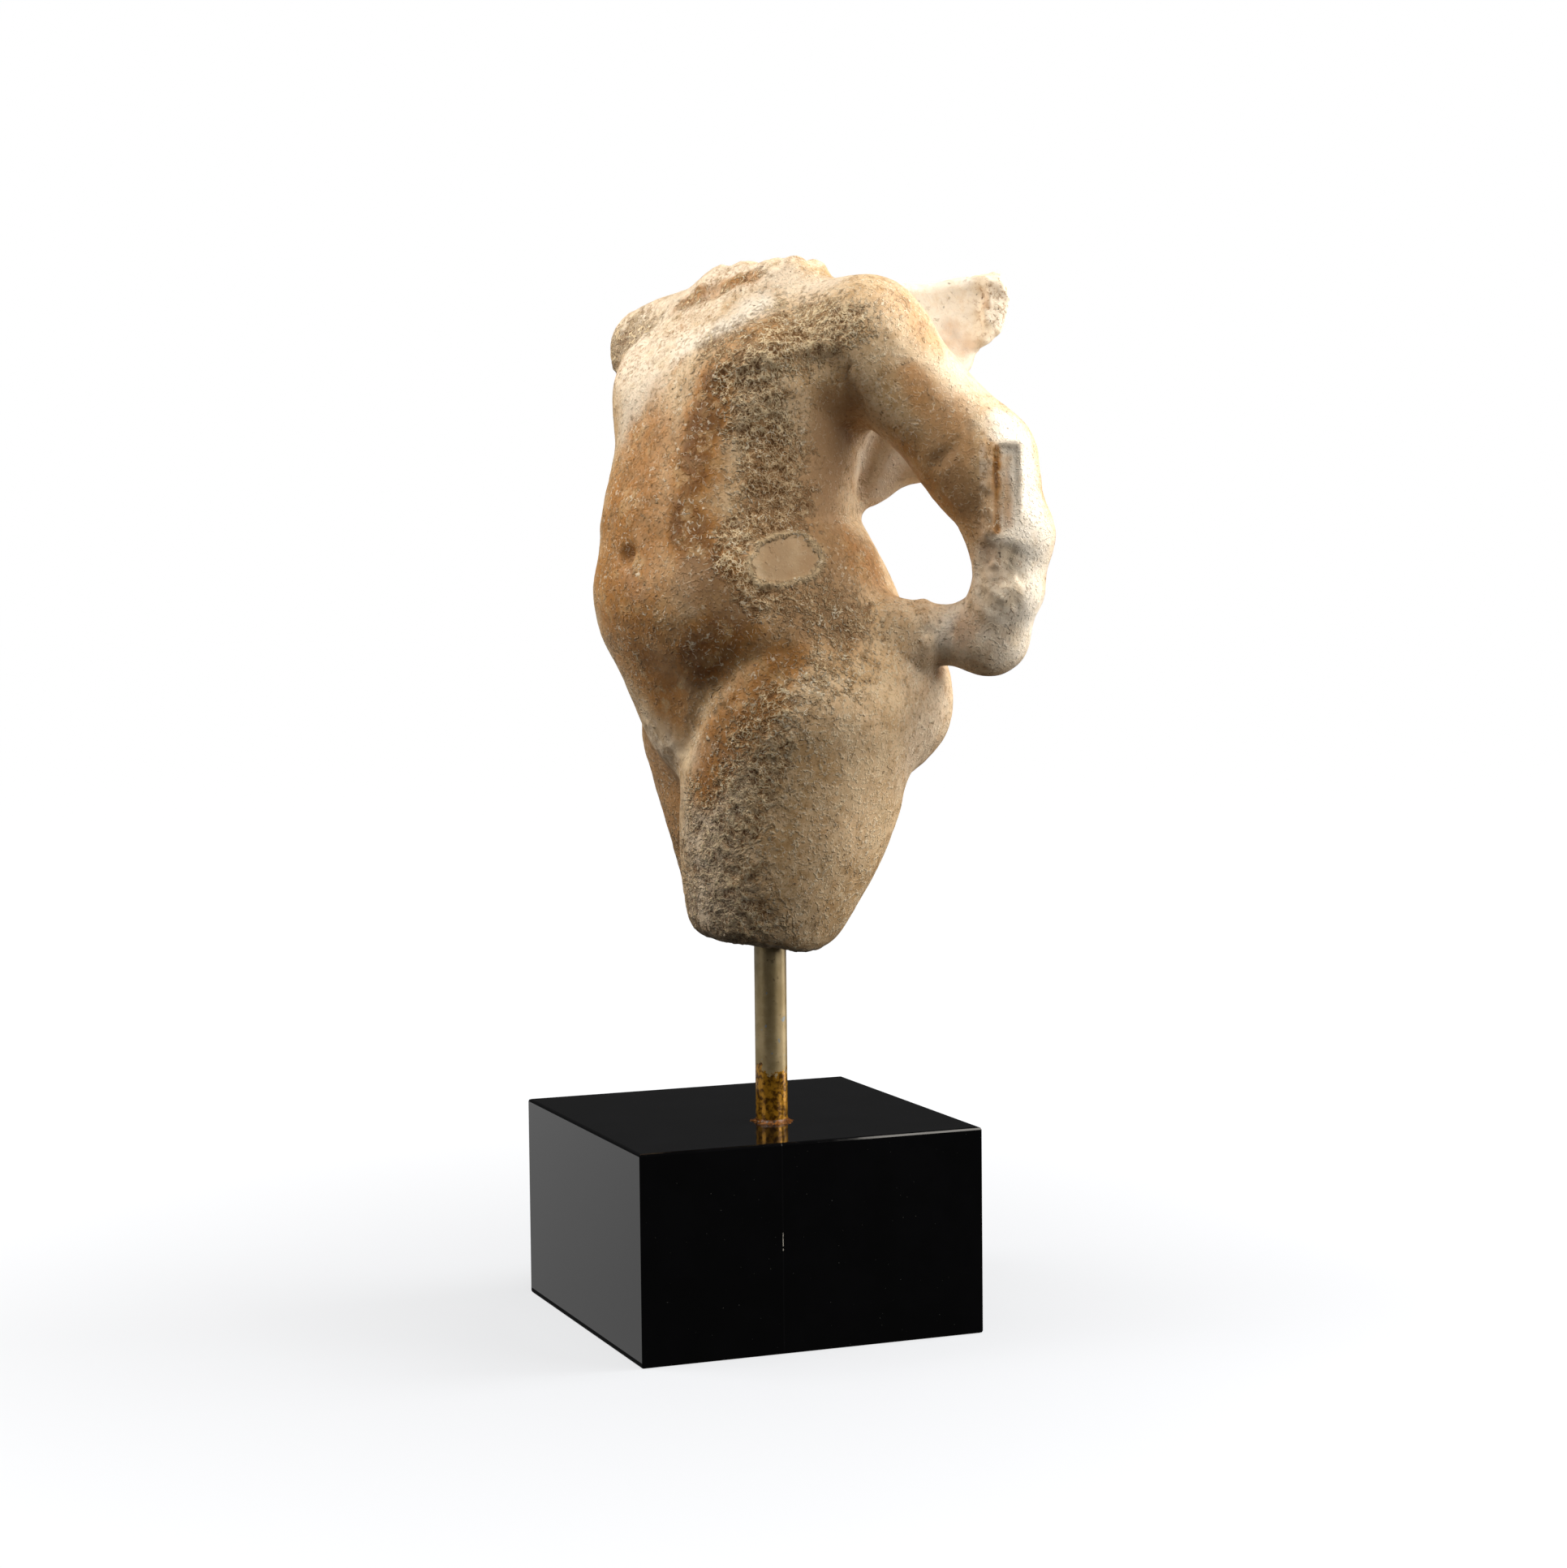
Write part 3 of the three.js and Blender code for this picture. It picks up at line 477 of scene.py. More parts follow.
def surface_of(value, low, step):
    """A net of four-sided faces: a corner in each cell that the surface crosses, at the mean of the
    crossings on the cell's edges, and a face round each grid edge that it crosses."""
    count = np.array(value.shape)
    inside = value < 0
    eight = [inside[tuple(slice(o, n - 1 + o) for o, n in zip(offset, count))] for offset in grid([2] * 3)]
    filled = sum(part.astype(np.int8) for part in eight)
    crossed = (filled > 0) & (filled < 8)
    cells = np.argwhere(crossed)
    number = np.full(count - 1, -1)
    number[crossed] = np.arange(len(cells))
    total, crossings = np.zeros((len(cells), 3)), np.zeros(len(cells))
    faces = []
    for axis in range(3):
        unit = np.eye(3, dtype=int)
        u, v = unit[(axis + 1) % 3], unit[(axis + 2) % 3]
        for offset in (0 * u, u, v, u + v):
            a = value[tuple((cells + offset).T)]
            b = value[tuple((cells + offset + unit[axis]).T)]
            cut = (a < 0) != (b < 0)
            share = np.where(cut, a / np.where(cut, a - b, 1), 0)
            total += np.where(cut[:, None], offset + unit[axis] * share[:, None], 0)
            crossings += cut
        here = tuple(slice(0, n - e) for n, e in zip(count, unit[axis]))
        there = tuple(slice(e, n) for n, e in zip(count, unit[axis]))
        edges = np.argwhere(inside[here] != inside[there])
        round_edge = [number[tuple((edges - offset).T)] for offset in (u + v, v, 0 * u, u)]
        ring = np.stack(round_edge, 1)
        outward = ~inside[tuple(edges.T)]
        ring[outward] = ring[outward][:, ::-1]
        faces.append(ring)
    return low + (cells + total / crossings[:, None]) * step, np.concatenate(faces)


def slope_of(distance, p, d):
    """The slope of the distance, from three short steps."""
    reach = 0.2
    return np.stack([distance(p + reach * unit) - d for unit in np.eye(3)], 1) / reach


def random_at(cell, seed):
    """A number between 0 and 1 for each whole-number cell, by mixing its three places with a seed."""
    mixed = cell.astype(np.int64) @ np.array((73856093, 19349663, 83492791)) + seed * 2654435
    mixed = (mixed ^ (mixed >> 13)) * 1274126177 & 0x7FFFFFFF
    mixed = (mixed ^ (mixed >> 16)) & 0xFFFF
    return mixed / 65535


def grain_noise(p, grain, seed):
    """Smooth noise between -1 and 1: random numbers at the corners of cells, blended across each cell."""
    q = p / grain
    cell = np.floor(q).astype(np.int64)
    t = q - cell
    t = t * t * (3 - 2 * t)
    total = 0
    for corner in grid([2] * 3):
        weight = np.prod(np.where(corner, t, 1 - t), 1)
        total = total + weight * random_at(cell + corner, seed)
    return 2 * total - 1


def soft_step(value, low, high):
    """0 below low, 1 above high and a smooth rise between."""
    t = np.clip((value - low) / (high - low), 0, 1)
    return t * t * (3 - 2 * t)


def band(p, points, radii, fray, seed):
    """1 along a line through points, 0 well beyond its radius, with an edge frayed by noise."""
    nearest, place = along_line(p, points)
    radius = np.interp(place, np.linspace(0, 1, len(radii)), radii)
    edge = np.sqrt(nearest) / radius + fray * (grain_noise(p, 7, seed) + 0.6 * grain_noise(p, 2.8, seed + 1))
    return 1 - soft_step(edge, 0.2, 1.5)


# Where each finish, the painted shade and a painted highlight lie: lines through points, a radius at each
# point, and the strength
CRUST_BANDS = [
    ([(28, -20, 174), (39, -14, 181), (43, -1, 188), (54, 7, 190)], (8, 10, 11, 7), 0.9),
    ([(20, -20, 184), (34, -6, 193), (46, 4, 193)], (9, 13, 10), 0.55),
    ([(37, -15, 172), (36, -12, 152), (38, -11, 140), (40, -13, 131)], (11, 12, 12, 10), 1),
    ([(36, -24, 130), (38, -27, 120), (43, -21, 112)], (6, 6, 7), 1),
    ([(44, -20, 111), (48, -8, 108), (51, 6, 102)], (8, 10, 11), 0.62),
    ([(50, 0, 104), (55, 2, 94), (54, -8, 82), (50, -18, 74)], (10, 12, 12, 11), 0.42),
    ([(50, -18, 78), (42, -23, 60), (35, -26, 46), (30, -28, 30), (32, -24, 14)], (10, 13, 14, 15, 15), 0.75),
    ([(22, -27, 50), (18, -26, 30), (14, -22, 10)], (9, 10, 10), 0.62),
    ([(-24, -14, 30), (-18, -10, 8)], (12, 12), 0.45),
    ([(-50, -12, 184), (-40, -16, 193), (-26, -20, 198)], (9, 8, 7), 0.75),
    ([(-16, -14, 203), (0, -10, 206), (14, -4, 209)], (6, 6, 5), 0.6),
]
WORN_GROIN, WORN_RADIUS = (1, -25, 69), 10
BARE_OVAL = ((44, -11, 121), (6, 11, 7.5))
RAW_STRIP = ((70.6, 71.4), (75, 76), (43, 45), (13, 15))  # its left, right, inner and end edges
CRUMB_HEIGHT, CRUMB_SINK = 0.75, 0.22
RIM_HEIGHT = 0.55
PIT_DEPTH = 0.6
HOLLOW_REACHES = (2.5, 8)
PATINA_AND_SHADE_BANDS = [
    ([(34, -8, 190), (28, -17, 184), (25, -24, 177)], (7, 8, 9), 0.55),
    ([(24, -24, 175), (22, -28, 160), (24, -31, 145)], (8, 10, 11), 1),
    ([(4, -38, 158), (2, -42, 140), (4, -42, 120), (8, -40, 100), (12, -32, 80)], (17, 26, 29, 24, 12), 0.8),
    ([(24, -36, 138), (30, -32, 122), (38, -26, 104), (30, -32, 92)], (10, 12, 13, 12), 1),
    ([(47, -14, 92), (43, -24, 77), (33, -29, 66), (25, -30, 53)], (9, 12, 11, 9), 0.85),
    ([(-22, -18, 62), (-20, -16, 40), (-16, -12, 20)], (20, 20, 16), 0.6),
    ([(41, 8, 162), (40, 8, 150), (39, 2, 136)], (9, 13, 11), 0.42),
    # Patina round the waist, made stronger as painted shade where the arm shades it
    ([(38, -14, 131), (44, 6, 126), (42, 22, 120)], (9, 14, 13), 0.72),
    ([(50, -8, 104), (54, 4, 98)], (9, 10), 0.4),
    # Patina on the side of the upper arm that faces the flank: partly painted shade, made strong where that
    # side lies in shade
    ([(66, 32, 140), (60, 32, 150), (56, 28, 160)], (10, 10, 9), 0.75),
    ([(-16, -14, 203), (0, -10, 206), (14, -4, 209)], (6, 5, 5), 0.75),
    ([(70, 38, 148), (71, 40, 132)], (4, 4), 0.6),
    ([(70, 44, 106), (66, 38, 100)], (6, 6), 0.5),
    ([(34, 46, 190), (40, 56, 186)], (5, 5), 0.5),
    ([(36, 46, 170), (34, 40, 150)], (7, 8), 0.25),
    ([(62, 22, 176), (69, 29, 161), (72, 32, 145), (72, 36, 134)], (5, 9, 10, 8), 0.6),
    ([(54, 24, 195), (60, 30, 188)], (8, 8), 0.55),
    ([(36, 53, 192), (39.3, 57.2, 188)], (4, 4), 0.5),
    ([(43, 61, 202), (44, 62, 199)], (2, 2), 0.5),
    ([(76, 40, 124), (74, 46, 110)], (4, 5), 0.4),
    ([(78.6, 38.2, 154), (78.6, 38.2, 129)], (2.2, 2.2), 0.45),
    ([(79.9, 40.1, 153), (79.9, 40.1, 129)], (1.4, 1.4), 1),
    ([(81.6, 42.9, 150), (81.6, 42.9, 131)], (1.8, 1.8), 0.5),
    ([(36, -12, 152), (36, -13, 138)], (10, 10), 0.5),
    ([(44, -14, 112), (49, -9, 102)], (9, 9), 0.5),
]
PALE_AND_HIGHLIGHT_BANDS = [
    ([(-30, -22, 194), (-12, -30, 184), (-8, -33, 168)], (15, 17, 13), 0.55),
    ([(-44, -8, 196), (-20, -10, 202), (0, -8, 208), (20, 0, 208), (36, 10, 202)], (15, 13, 12, 9, 9), 0.5),
    # This band is a painted highlight: the top of the chest, lit from above, made paler
    ([(23, -7, 199), (20, -16, 192), (2, -26, 186)], (7, 7, 9), 0.75),
    ([(29, -34, 127), (30, -33, 120), (33, -33, 108)], (5, 6, 5), 0.4),
    ([(7, -45, 119), (12, -45, 112)], (4, 5), 0.6),
    ([(30, 50, 198), (45, 72, 200)], (19, 19), 1),
    ([(38, 52, 182), (48, 44, 160), (30, 38, 150)], (15, 15, 16), 1),
    ([(78, 46, 160), (84, 50, 140), (80, 48, 118), (70, 51, 102), (56, 40, 99)], (8, 8, 15, 15, 11), 0.95),
    ([(31, -29, 60), (26, -28, 40), (24, -28, 18)], (12, 12, 12), 0.45),
    ([(48, 24, 192), (58, 34, 176), (66, 42, 162)], (12, 13, 11), 0.4),
    ([(52, 36, 98), (54, 40, 84), (46, 34, 62)], (14, 16, 14), 0.4),
]
SMOOTH_BANDS = [
    ([(41, 10, 170), (40, 8, 150), (39, 2, 136)], (9, 12, 10), 0.65),
    ([(50, 22, 182), (62, 34, 166), (68, 40, 148)], (14, 14, 12), 0.8),
    ([(14, -34, 88), (8, -32, 72), (14, -30, 62)], (12, 10, 7), 0.8),
    ([(58, 12, 72), (50, 12, 50)], (15, 14), 0.4),
    ([(30, 50, 190), (48, 40, 150)], (22, 20), 0.8),
]
FIBRE_BANDS = [
    ([(50, 2, 106), (56, 4, 92), (54, -8, 78), (46, -20, 60)], (12, 15, 14, 12), 1),
    ([(-10, -36, 170), (0, -42, 140), (4, -44, 116)], (22, 26, 18), 0.7),
]
# Painted shade: a grey-brown laid over the flank, the waist, the upper arm, the side of the hip and the lower
# belly, where the arm shades them and the light falls off
SHADE_BANDS = [
    ([(44, 8, 166), (40, 8, 150), (39, 2, 136), (45, 0, 120), (50, 4, 104)], (10, 14, 14, 15, 11), 0.85),
    ([(36, -12, 152), (37, -12, 138), (44, -13, 118), (49, -8, 104)], (9, 10, 9, 9), 0.75),
    ([(66, 30, 158), (71, 31, 144), (74, 38, 132)], (10, 10, 8), 0.65),
    ([(56, 34, 84), (54, 30, 66)], (14, 14), 0.35),
    ([(31, -35, 116), (40, -24, 108)], (9, 8), 0.7),
]


def most(p, bands, fray, seed):
    """The strongest of several bands at each point."""
    found = np.zeros(len(p))
    for i, (points, radii, strength) in enumerate(bands):
        found = np.maximum(found, strength * band(p, points, radii, fray, seed + 2 * i))
    return found


def finishes_and_shade(p):
    """How strongly each finish and the painted shade show at each point, from 0 to 1. The crust has come
    off an oval patch on the flank, and stands up as a crumbly rim round it."""
    centre, radii = BARE_OVAL
    oval = length(*((p - centre) / radii).T) + 0.16 * grain_noise(p, 4, 31)
    bare = 1 - soft_step(oval, 0.86, 0.98)
    rim = np.exp(-((oval - 1.1) / 0.13) ** 2)
    crust = most(p, CRUST_BANDS, 0.34, 11)
    crust = np.maximum(crust * (1 - bare), 0.95 * rim)
    smooth = np.maximum(most(p, SMOOTH_BANDS, 0.15, 71), bare)
    return {
        "crust": crust,
        "patina": most(p, PATINA_AND_SHADE_BANDS, 0.22, 41) * (1 - bare),
        "pale": most(p, PALE_AND_HIGHLIGHT_BANDS, 0.22, 61),
        "smooth": smooth * (1 - crust),
        "fibre": most(p, FIBRE_BANDS, 0.3, 81) * (1 - bare),
        "painted_shade": most(p, SHADE_BANDS, 0.2, 91),
        "broken": broken(p),
        "rim": rim,
    }


def broken(p):
    """1 on the broken faces: near a plane that a break cut along, on the forearm's rough patch, on the
    pitted strip of the fluted piece, at the wing's end and at the worn groin."""
    along, end = p @ ALONG, np.abs(p[:, 2] - FLUTED_HEIGHT)
    left, right, inner, ends = RAW_STRIP
    strip = soft_step(-along, -right[1], -right[0]) * soft_step(p @ OUT, *inner) * soft_step(along, *left)
    found = np.maximum(forearm_break(p), strip * soft_step(-end, -ends[1], -ends[0]))
    for point, way, _, *rough in BREAKS:
        found = np.maximum(found, soft_step(beyond_break(p, point, way, *rough), -2.4, -0.6))
    return np.maximum.reduce([found, wing_end(p), bell(p, WORN_GROIN, WORN_RADIUS)])


def wing_end(p):
    """1 along the wing's broken outer end, 0 elsewhere."""
    out = wing_place(p)[0]
    return soft_step(out, 33, 42) * soft_step(p[:, 1], 45, 55) * soft_step(p[:, 2], 168, 178)


def worms(p, grain, seed):
    """Winding ridges between 0 and 1: highest where smooth noise passes through zero."""
    return np.maximum(1 - 3.2 * np.abs(grain_noise(p, grain, seed)), 0)


def crumbs_of(p):
    """The winding crumbs of the crust, from 0 in the gaps to about 1 on the ridges."""
    return 0.5 * worms(p, 3.6, 15) + 0.4 * worms(p, 2.7, 17) + 0.25 * grain_noise(p, 1.7, 9) + 0.1


def relief(p, shown):
    """How far the surface stands out, in millimetres: winding crumbs in the crust, tooth on the
    broken faces, and the slight wear of the smooth skin."""
    fine = grain_noise(p, 1.7, 9)
    crumbs = CRUMB_HEIGHT * crumbs_of(p) - CRUMB_SINK
    tooth = 0.45 * grain_noise(p, 3.4, 19) + 0.25 * fine
    skin = 0.32 * grain_noise(p, 13, 23) + 0.2 * grain_noise(p, 5.5, 25) + 0.07 * fine
    pits = -PIT_DEPTH * soft_step(grain_noise(p, 2.6, 29), 0.55, 0.85)
    wear = skin + pits * (0.2 + 0.8 * shown["broken"]) * (1 - shown["smooth"])
    return shown["crust"] * crumbs + shown["rim"] * RIM_HEIGHT + shown["broken"] * tooth + wear


def hollow_share(p, normal):
    """How shut in a point is: what is missing from the distance at points above the surface. It lays a
    dark brown into the hollows, partly dirt and partly painted shade.
    """
    near, wide = (marble(p + reach * normal) / reach for reach in HOLLOW_REACHES)
    return np.clip(1 - 0.55 * near - 0.45 * wide, 0, 1)


def turned(x, y, sine):
    """A place turned about the upright by the figure's turn, or back where the sine is below zero."""
    return TURN_COS * x - sine * y, sine * x + TURN_COS * y


def placed(p):
    """From the figure's frame to the object's, in metres."""
    x, y = turned(p[:, 0], p[:, 1], TURN_SIN)
    return np.stack([x, y, p[:, 2] + FIGURE_LIFT], 1) * MM


def drawn(p):
    """From the object's frame, in metres, back to the figure's."""
    q = p / MM
    x, y = turned(q[:, 0], q[:, 1], -TURN_SIN)
    return np.stack([x, y, q[:, 2] - FIGURE_LIFT], 1)


def new_piece(name, points, faces):
    """A smooth mesh object at the origin."""
    mesh = bpy.data.meshes.new(name)
    mesh.from_pydata(points, [], faces)
    mesh.update()
    mesh.polygons.foreach_set("use_smooth", np.ones(len(mesh.polygons), bool))
    piece = bpy.data.objects.new(name, mesh)
    bpy.context.scene.collection.objects.link(piece)
    return piece


def points_of(mesh):
    """The mesh's points as rows."""
    flat = np.empty(3 * len(mesh.vertices), np.float32)
    mesh.vertices.foreach_get("co", flat)
    return flat.reshape(-1, 3).astype(float)


def thin(piece, most_triangles):
    """Takes out the points that the shape needs least, until few enough triangles are left."""
    triangles = 2 * len(piece.data.polygons)
    if triangles <= most_triangles:
        return
    modifier = piece.modifiers.new("thin", "DECIMATE")
    modifier.ratio = most_triangles / triangles
    modifier.use_collapse_triangulate = True
    evaluated = piece.evaluated_get(bpy.context.evaluated_depsgraph_get())
    thinned = bpy.data.meshes.new_from_object(evaluated)
    piece.modifiers.clear()
    piece.data = thinned
    piece.data.polygons.foreach_set("use_smooth", np.ones(len(thinned.polygons), bool))


def make_marble():
    """The carved marble: the net round its signed distance, with the fine relief pushed along the
    slope, and how strongly each finish and the painted shade show kept as attributes of its points."""
    low = np.array(SPACE_LOW)
    count = [8 * math.ceil((high - a) / GRID_STEP / 8) for a, high in zip(SPACE_LOW, SPACE_HIGH)]
    points, faces = surface_of(sampled(marble, low, count, GRID_STEP), low, GRID_STEP)
    d = marble(points)
    slope = slope_of(marble, points, d)
    points = points - slope * np.clip(d / ((slope ** 2).sum(1) + 1e-6), -1, 1)[:, None]
    normal = slope / (length(*slope.T)[:, None] + 1e-9)
    bore = from_rod(points) < BORE_RADIUS + BORE_MARGIN[0]
    held = np.where(bore & (points[:, 2] < BORE_TOP + BORE_MARGIN[1]), 0, 1)
    points = points + normal * (held * relief(points, finishes_and_shade(points)))[:, None]
    low_corner, high_corner = (np.array(corner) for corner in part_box("marble_torso"))
    piece = new_piece("carved_marble", np.clip(placed(points), low_corner, high_corner), faces)
    thin(piece, MOST_TRIANGLES)
    kept = np.clip(points_of(piece.data), low_corner, high_corner)
    piece.data.vertices.foreach_set("co", kept.ravel().astype(np.float32))
    piece.data.update()
    p = drawn(kept)
    normals = np.empty(3 * len(p), np.float32)
    piece.data.vertex_normals.foreach_get("vector", normals)
    turn_back = ((TURN_COS, -TURN_SIN, 0), (TURN_SIN, TURN_COS, 0), (0, 0, 1))
    normals = normals.reshape(-1, 3) @ np.array(turn_back)
    shown = finishes_and_shade(p)
    shown["hollow"] = hollow_share(p, normals)
    shown["crumbs"] = np.clip(crumbs_of(p), 0, 1)
    for name in SHADED:
        attribute = piece.data.attributes.new(name, "FLOAT", "POINT")
        attribute.data.foreach_set("value", shown[name].astype(np.float32))
    return piece


def turned_piece(name, profile, centre, sides, wobble=None):
    """A round piece: a profile of radius and height carried round an upright line, closed at both
    ends. A wobble changes the radius by the angle and the height."""
    profile = np.array(profile, float)
    angle = np.linspace(0, 2 * math.pi, sides, endpoint=False)
    radius, height = np.broadcast_arrays(profile[:, :1], angle), np.broadcast_arrays(profile[:, 1:], angle)
    radius, height = radius[0], height[0]
    if wobble is not None:
        radius = radius + wobble(angle[None, :] + 0 * radius, height)
    points = np.stack([centre[0] + radius * np.cos(angle), centre[1] + radius * np.sin(angle), height], -1)
    rows = len(profile)
    at = np.arange(rows * sides).reshape(rows, sides)
    after = np.roll(at, -1, 1)
    walls = np.stack([at[:-1], after[:-1], after[1:], at[1:]], -1).reshape(-1, 4)
    ends = np.array(((centre[0], centre[1], profile[0, 1]), (centre[0], centre[1], profile[-1, 1])))
    bottom = np.stack([np.full(sides, rows * sides), after[0], at[0]], -1)
    top = np.stack([np.full(sides, rows * sides + 1), at[-1], after[-1]], -1)
    faces = walls.tolist() + bottom.tolist() + top.tolist()
    return new_piece(name, np.concatenate([points.reshape(-1, 3), ends]) * MM, faces)


def rod_centre():
    """The rod's centre on the block, from its place in the figure's frame."""
    return turned(*ROD_PLACE, TURN_SIN)


ROD_BEVEL = 0.6
ROD_SPARE = 0.06  # left off the radius, so that the wobble stays inside the CAD rod
VARNISH_WOBBLE = 0.018
COLLAR_GAP = 0.02  # above the block
COLLAR_SPREAD, COLLAR_HEIGHT = 1.7, 1.1
ROUND_SIDES = 96


def make_rod():
    """The round bar, with bevelled ends, and a varnish that stands a little proud near its foot."""
    low, high = (corner.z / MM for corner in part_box("support_rod"))
    rings = np.linspace(BLOCK_TOP - 2, BLOCK_TOP + 60, 120)
    heights = np.concatenate([[low + ROD_BEVEL], rings, [high - ROD_BEVEL]])
    profile = [(0.01, low), (ROD_RADIUS - ROD_BEVEL, low)]
    profile += [(ROD_RADIUS - ROD_SPARE, z) for z in heights]
    profile += [(ROD_RADIUS - ROD_BEVEL, high), (0.01, high)]

    def wobble(angle, z):
        rough = np.sin(3 * angle + z / 3) + np.sin(5 * angle - z / 1.7 + 1) + np.sin(2 * angle + z)
        return VARNISH_WOBBLE * rough * np.clip((BLOCK_TOP + 17 - z) / 4, 0.1, 1) * (z > BLOCK_TOP - 1)

    return turned_piece("brass_rod", profile, rod_centre(), ROUND_SIDES, wobble)


def make_adhesive():
    """The collar of adhesive at the rod's foot: a low ring that creeps out over the block."""
    steps = np.linspace(0, 1, 14)
    profile = [(
        ROD_RADIUS + 0.05 + COLLAR_SPREAD * (1 - t) ** 1.8,
        BLOCK_TOP + COLLAR_GAP + COLLAR_HEIGHT * t ** 1.4,
    ) for t in steps]

    def wobble(angle, z):
        ragged = 0.5 * np.sin(2 * angle + 1) + 0.4 * np.sin(5 * angle) + 0.25 * np.sin(13 * angle + 2)
        return ragged * np.clip(1 - (z - BLOCK_TOP) / COLLAR_HEIGHT, 0, 1)

    return turned_piece("adhesive_collar", profile, rod_centre(), ROUND_SIDES, wobble)


def linear(colour):
    """An sRGB hex colour as linear red, green, blue and alpha."""
    parts = [int(colour[i:i + 2], 16) / 255 for i in (1, 3, 5)]
    return tuple(v / 12.92 if v <= 0.04045 else ((v + 0.055) / 1.055) ** 2.4 for v in parts) + (1.0,)


def new_material(name):
    """A material with its node tree and its shader."""
    material = bpy.data.materials.new(name)
    material.use_nodes = True
    tree = material.node_tree
    return material, tree, tree.nodes["Principled BSDF"]


def connect(tree, to, inputs):
    """Gives each input of a node, by its name or number, a value or the output of another node."""
    for name, value in inputs.items():
        if isinstance(value, bpy.types.NodeSocket):
            tree.links.new(value, to.inputs[name])
        else:
            to.inputs[name].default_value = value


def node(tree, kind, inputs, output=0, **settings):
    """Adds one node with its settings and inputs, and gives the output asked for."""
    made = tree.nodes.new("ShaderNode" + kind)
    for name, value in settings.items():
        setattr(made, name, value)
    connect(tree, made, inputs)
    return made.outputs[output]


def painted(tree, known, ground, layers):
    """Colours laid over a ground in turn, each by its named share. A colour is sRGB hex, or the
    output of another node."""
    colour, *above = [linear(c) if isinstance(c, str) else c for c in (ground, *layers.values())]
    for share, top in zip(layers, above):
        colour = node(tree, "Mix", {0: known[share], 6: colour, 7: top}, 2, data_type="RGBA")
    return colour


def worked(tree, noises, steps, known):
    """Named patterns for a material. Each noise has a lump size in millimetres, detail and seed, and
    the seed moves it away from the others. A step starts with a name or an operation. A name and four
    numbers: a smooth rise of the named value from low to high, between two ends. A name and three
    numbers: a line where the value passes the first, 0 beyond the second from it and 1 within the
    third. An operation: carried through the values after it, each a name or a number."""
    where = node(tree, "TexCoord", {}, "Object")
    for name, (size, detail, seed) in noises.items():
        apart = (0.37 * seed, 0.71 * seed, 0.53 * seed)
        moved = node(tree, "VectorMath", {0: where, 1: apart}, "Vector", operation="ADD")
        inputs = {"Vector": moved, "Scale": 1 / (size * MM), "Detail": detail, "Roughness": 0.6}
        known[name] = node(tree, "TexNoise", inputs)
    for name, (first, *rest) in steps.items():
        if first in known:
            value, numbers = known[first], rest
            if len(rest) == 3:
                away = node(tree, "Math", {0: value, 1: rest[0]}, operation="SUBTRACT")
                value, numbers = node(tree, "Math", {0: away}, operation="ABSOLUTE"), rest[1:] + [0, 1]
            inputs = {0: value, **dict(enumerate(numbers, 1))}
            known[name] = node(tree, "MapRange", inputs, interpolation_type="SMOOTHSTEP")
        else:
            value, *others = [known.get(part, part) for part in rest]
            for other in others:
                value = node(tree, "Math", {0: value, 1: other}, operation=first)
            known[name] = value
    return known


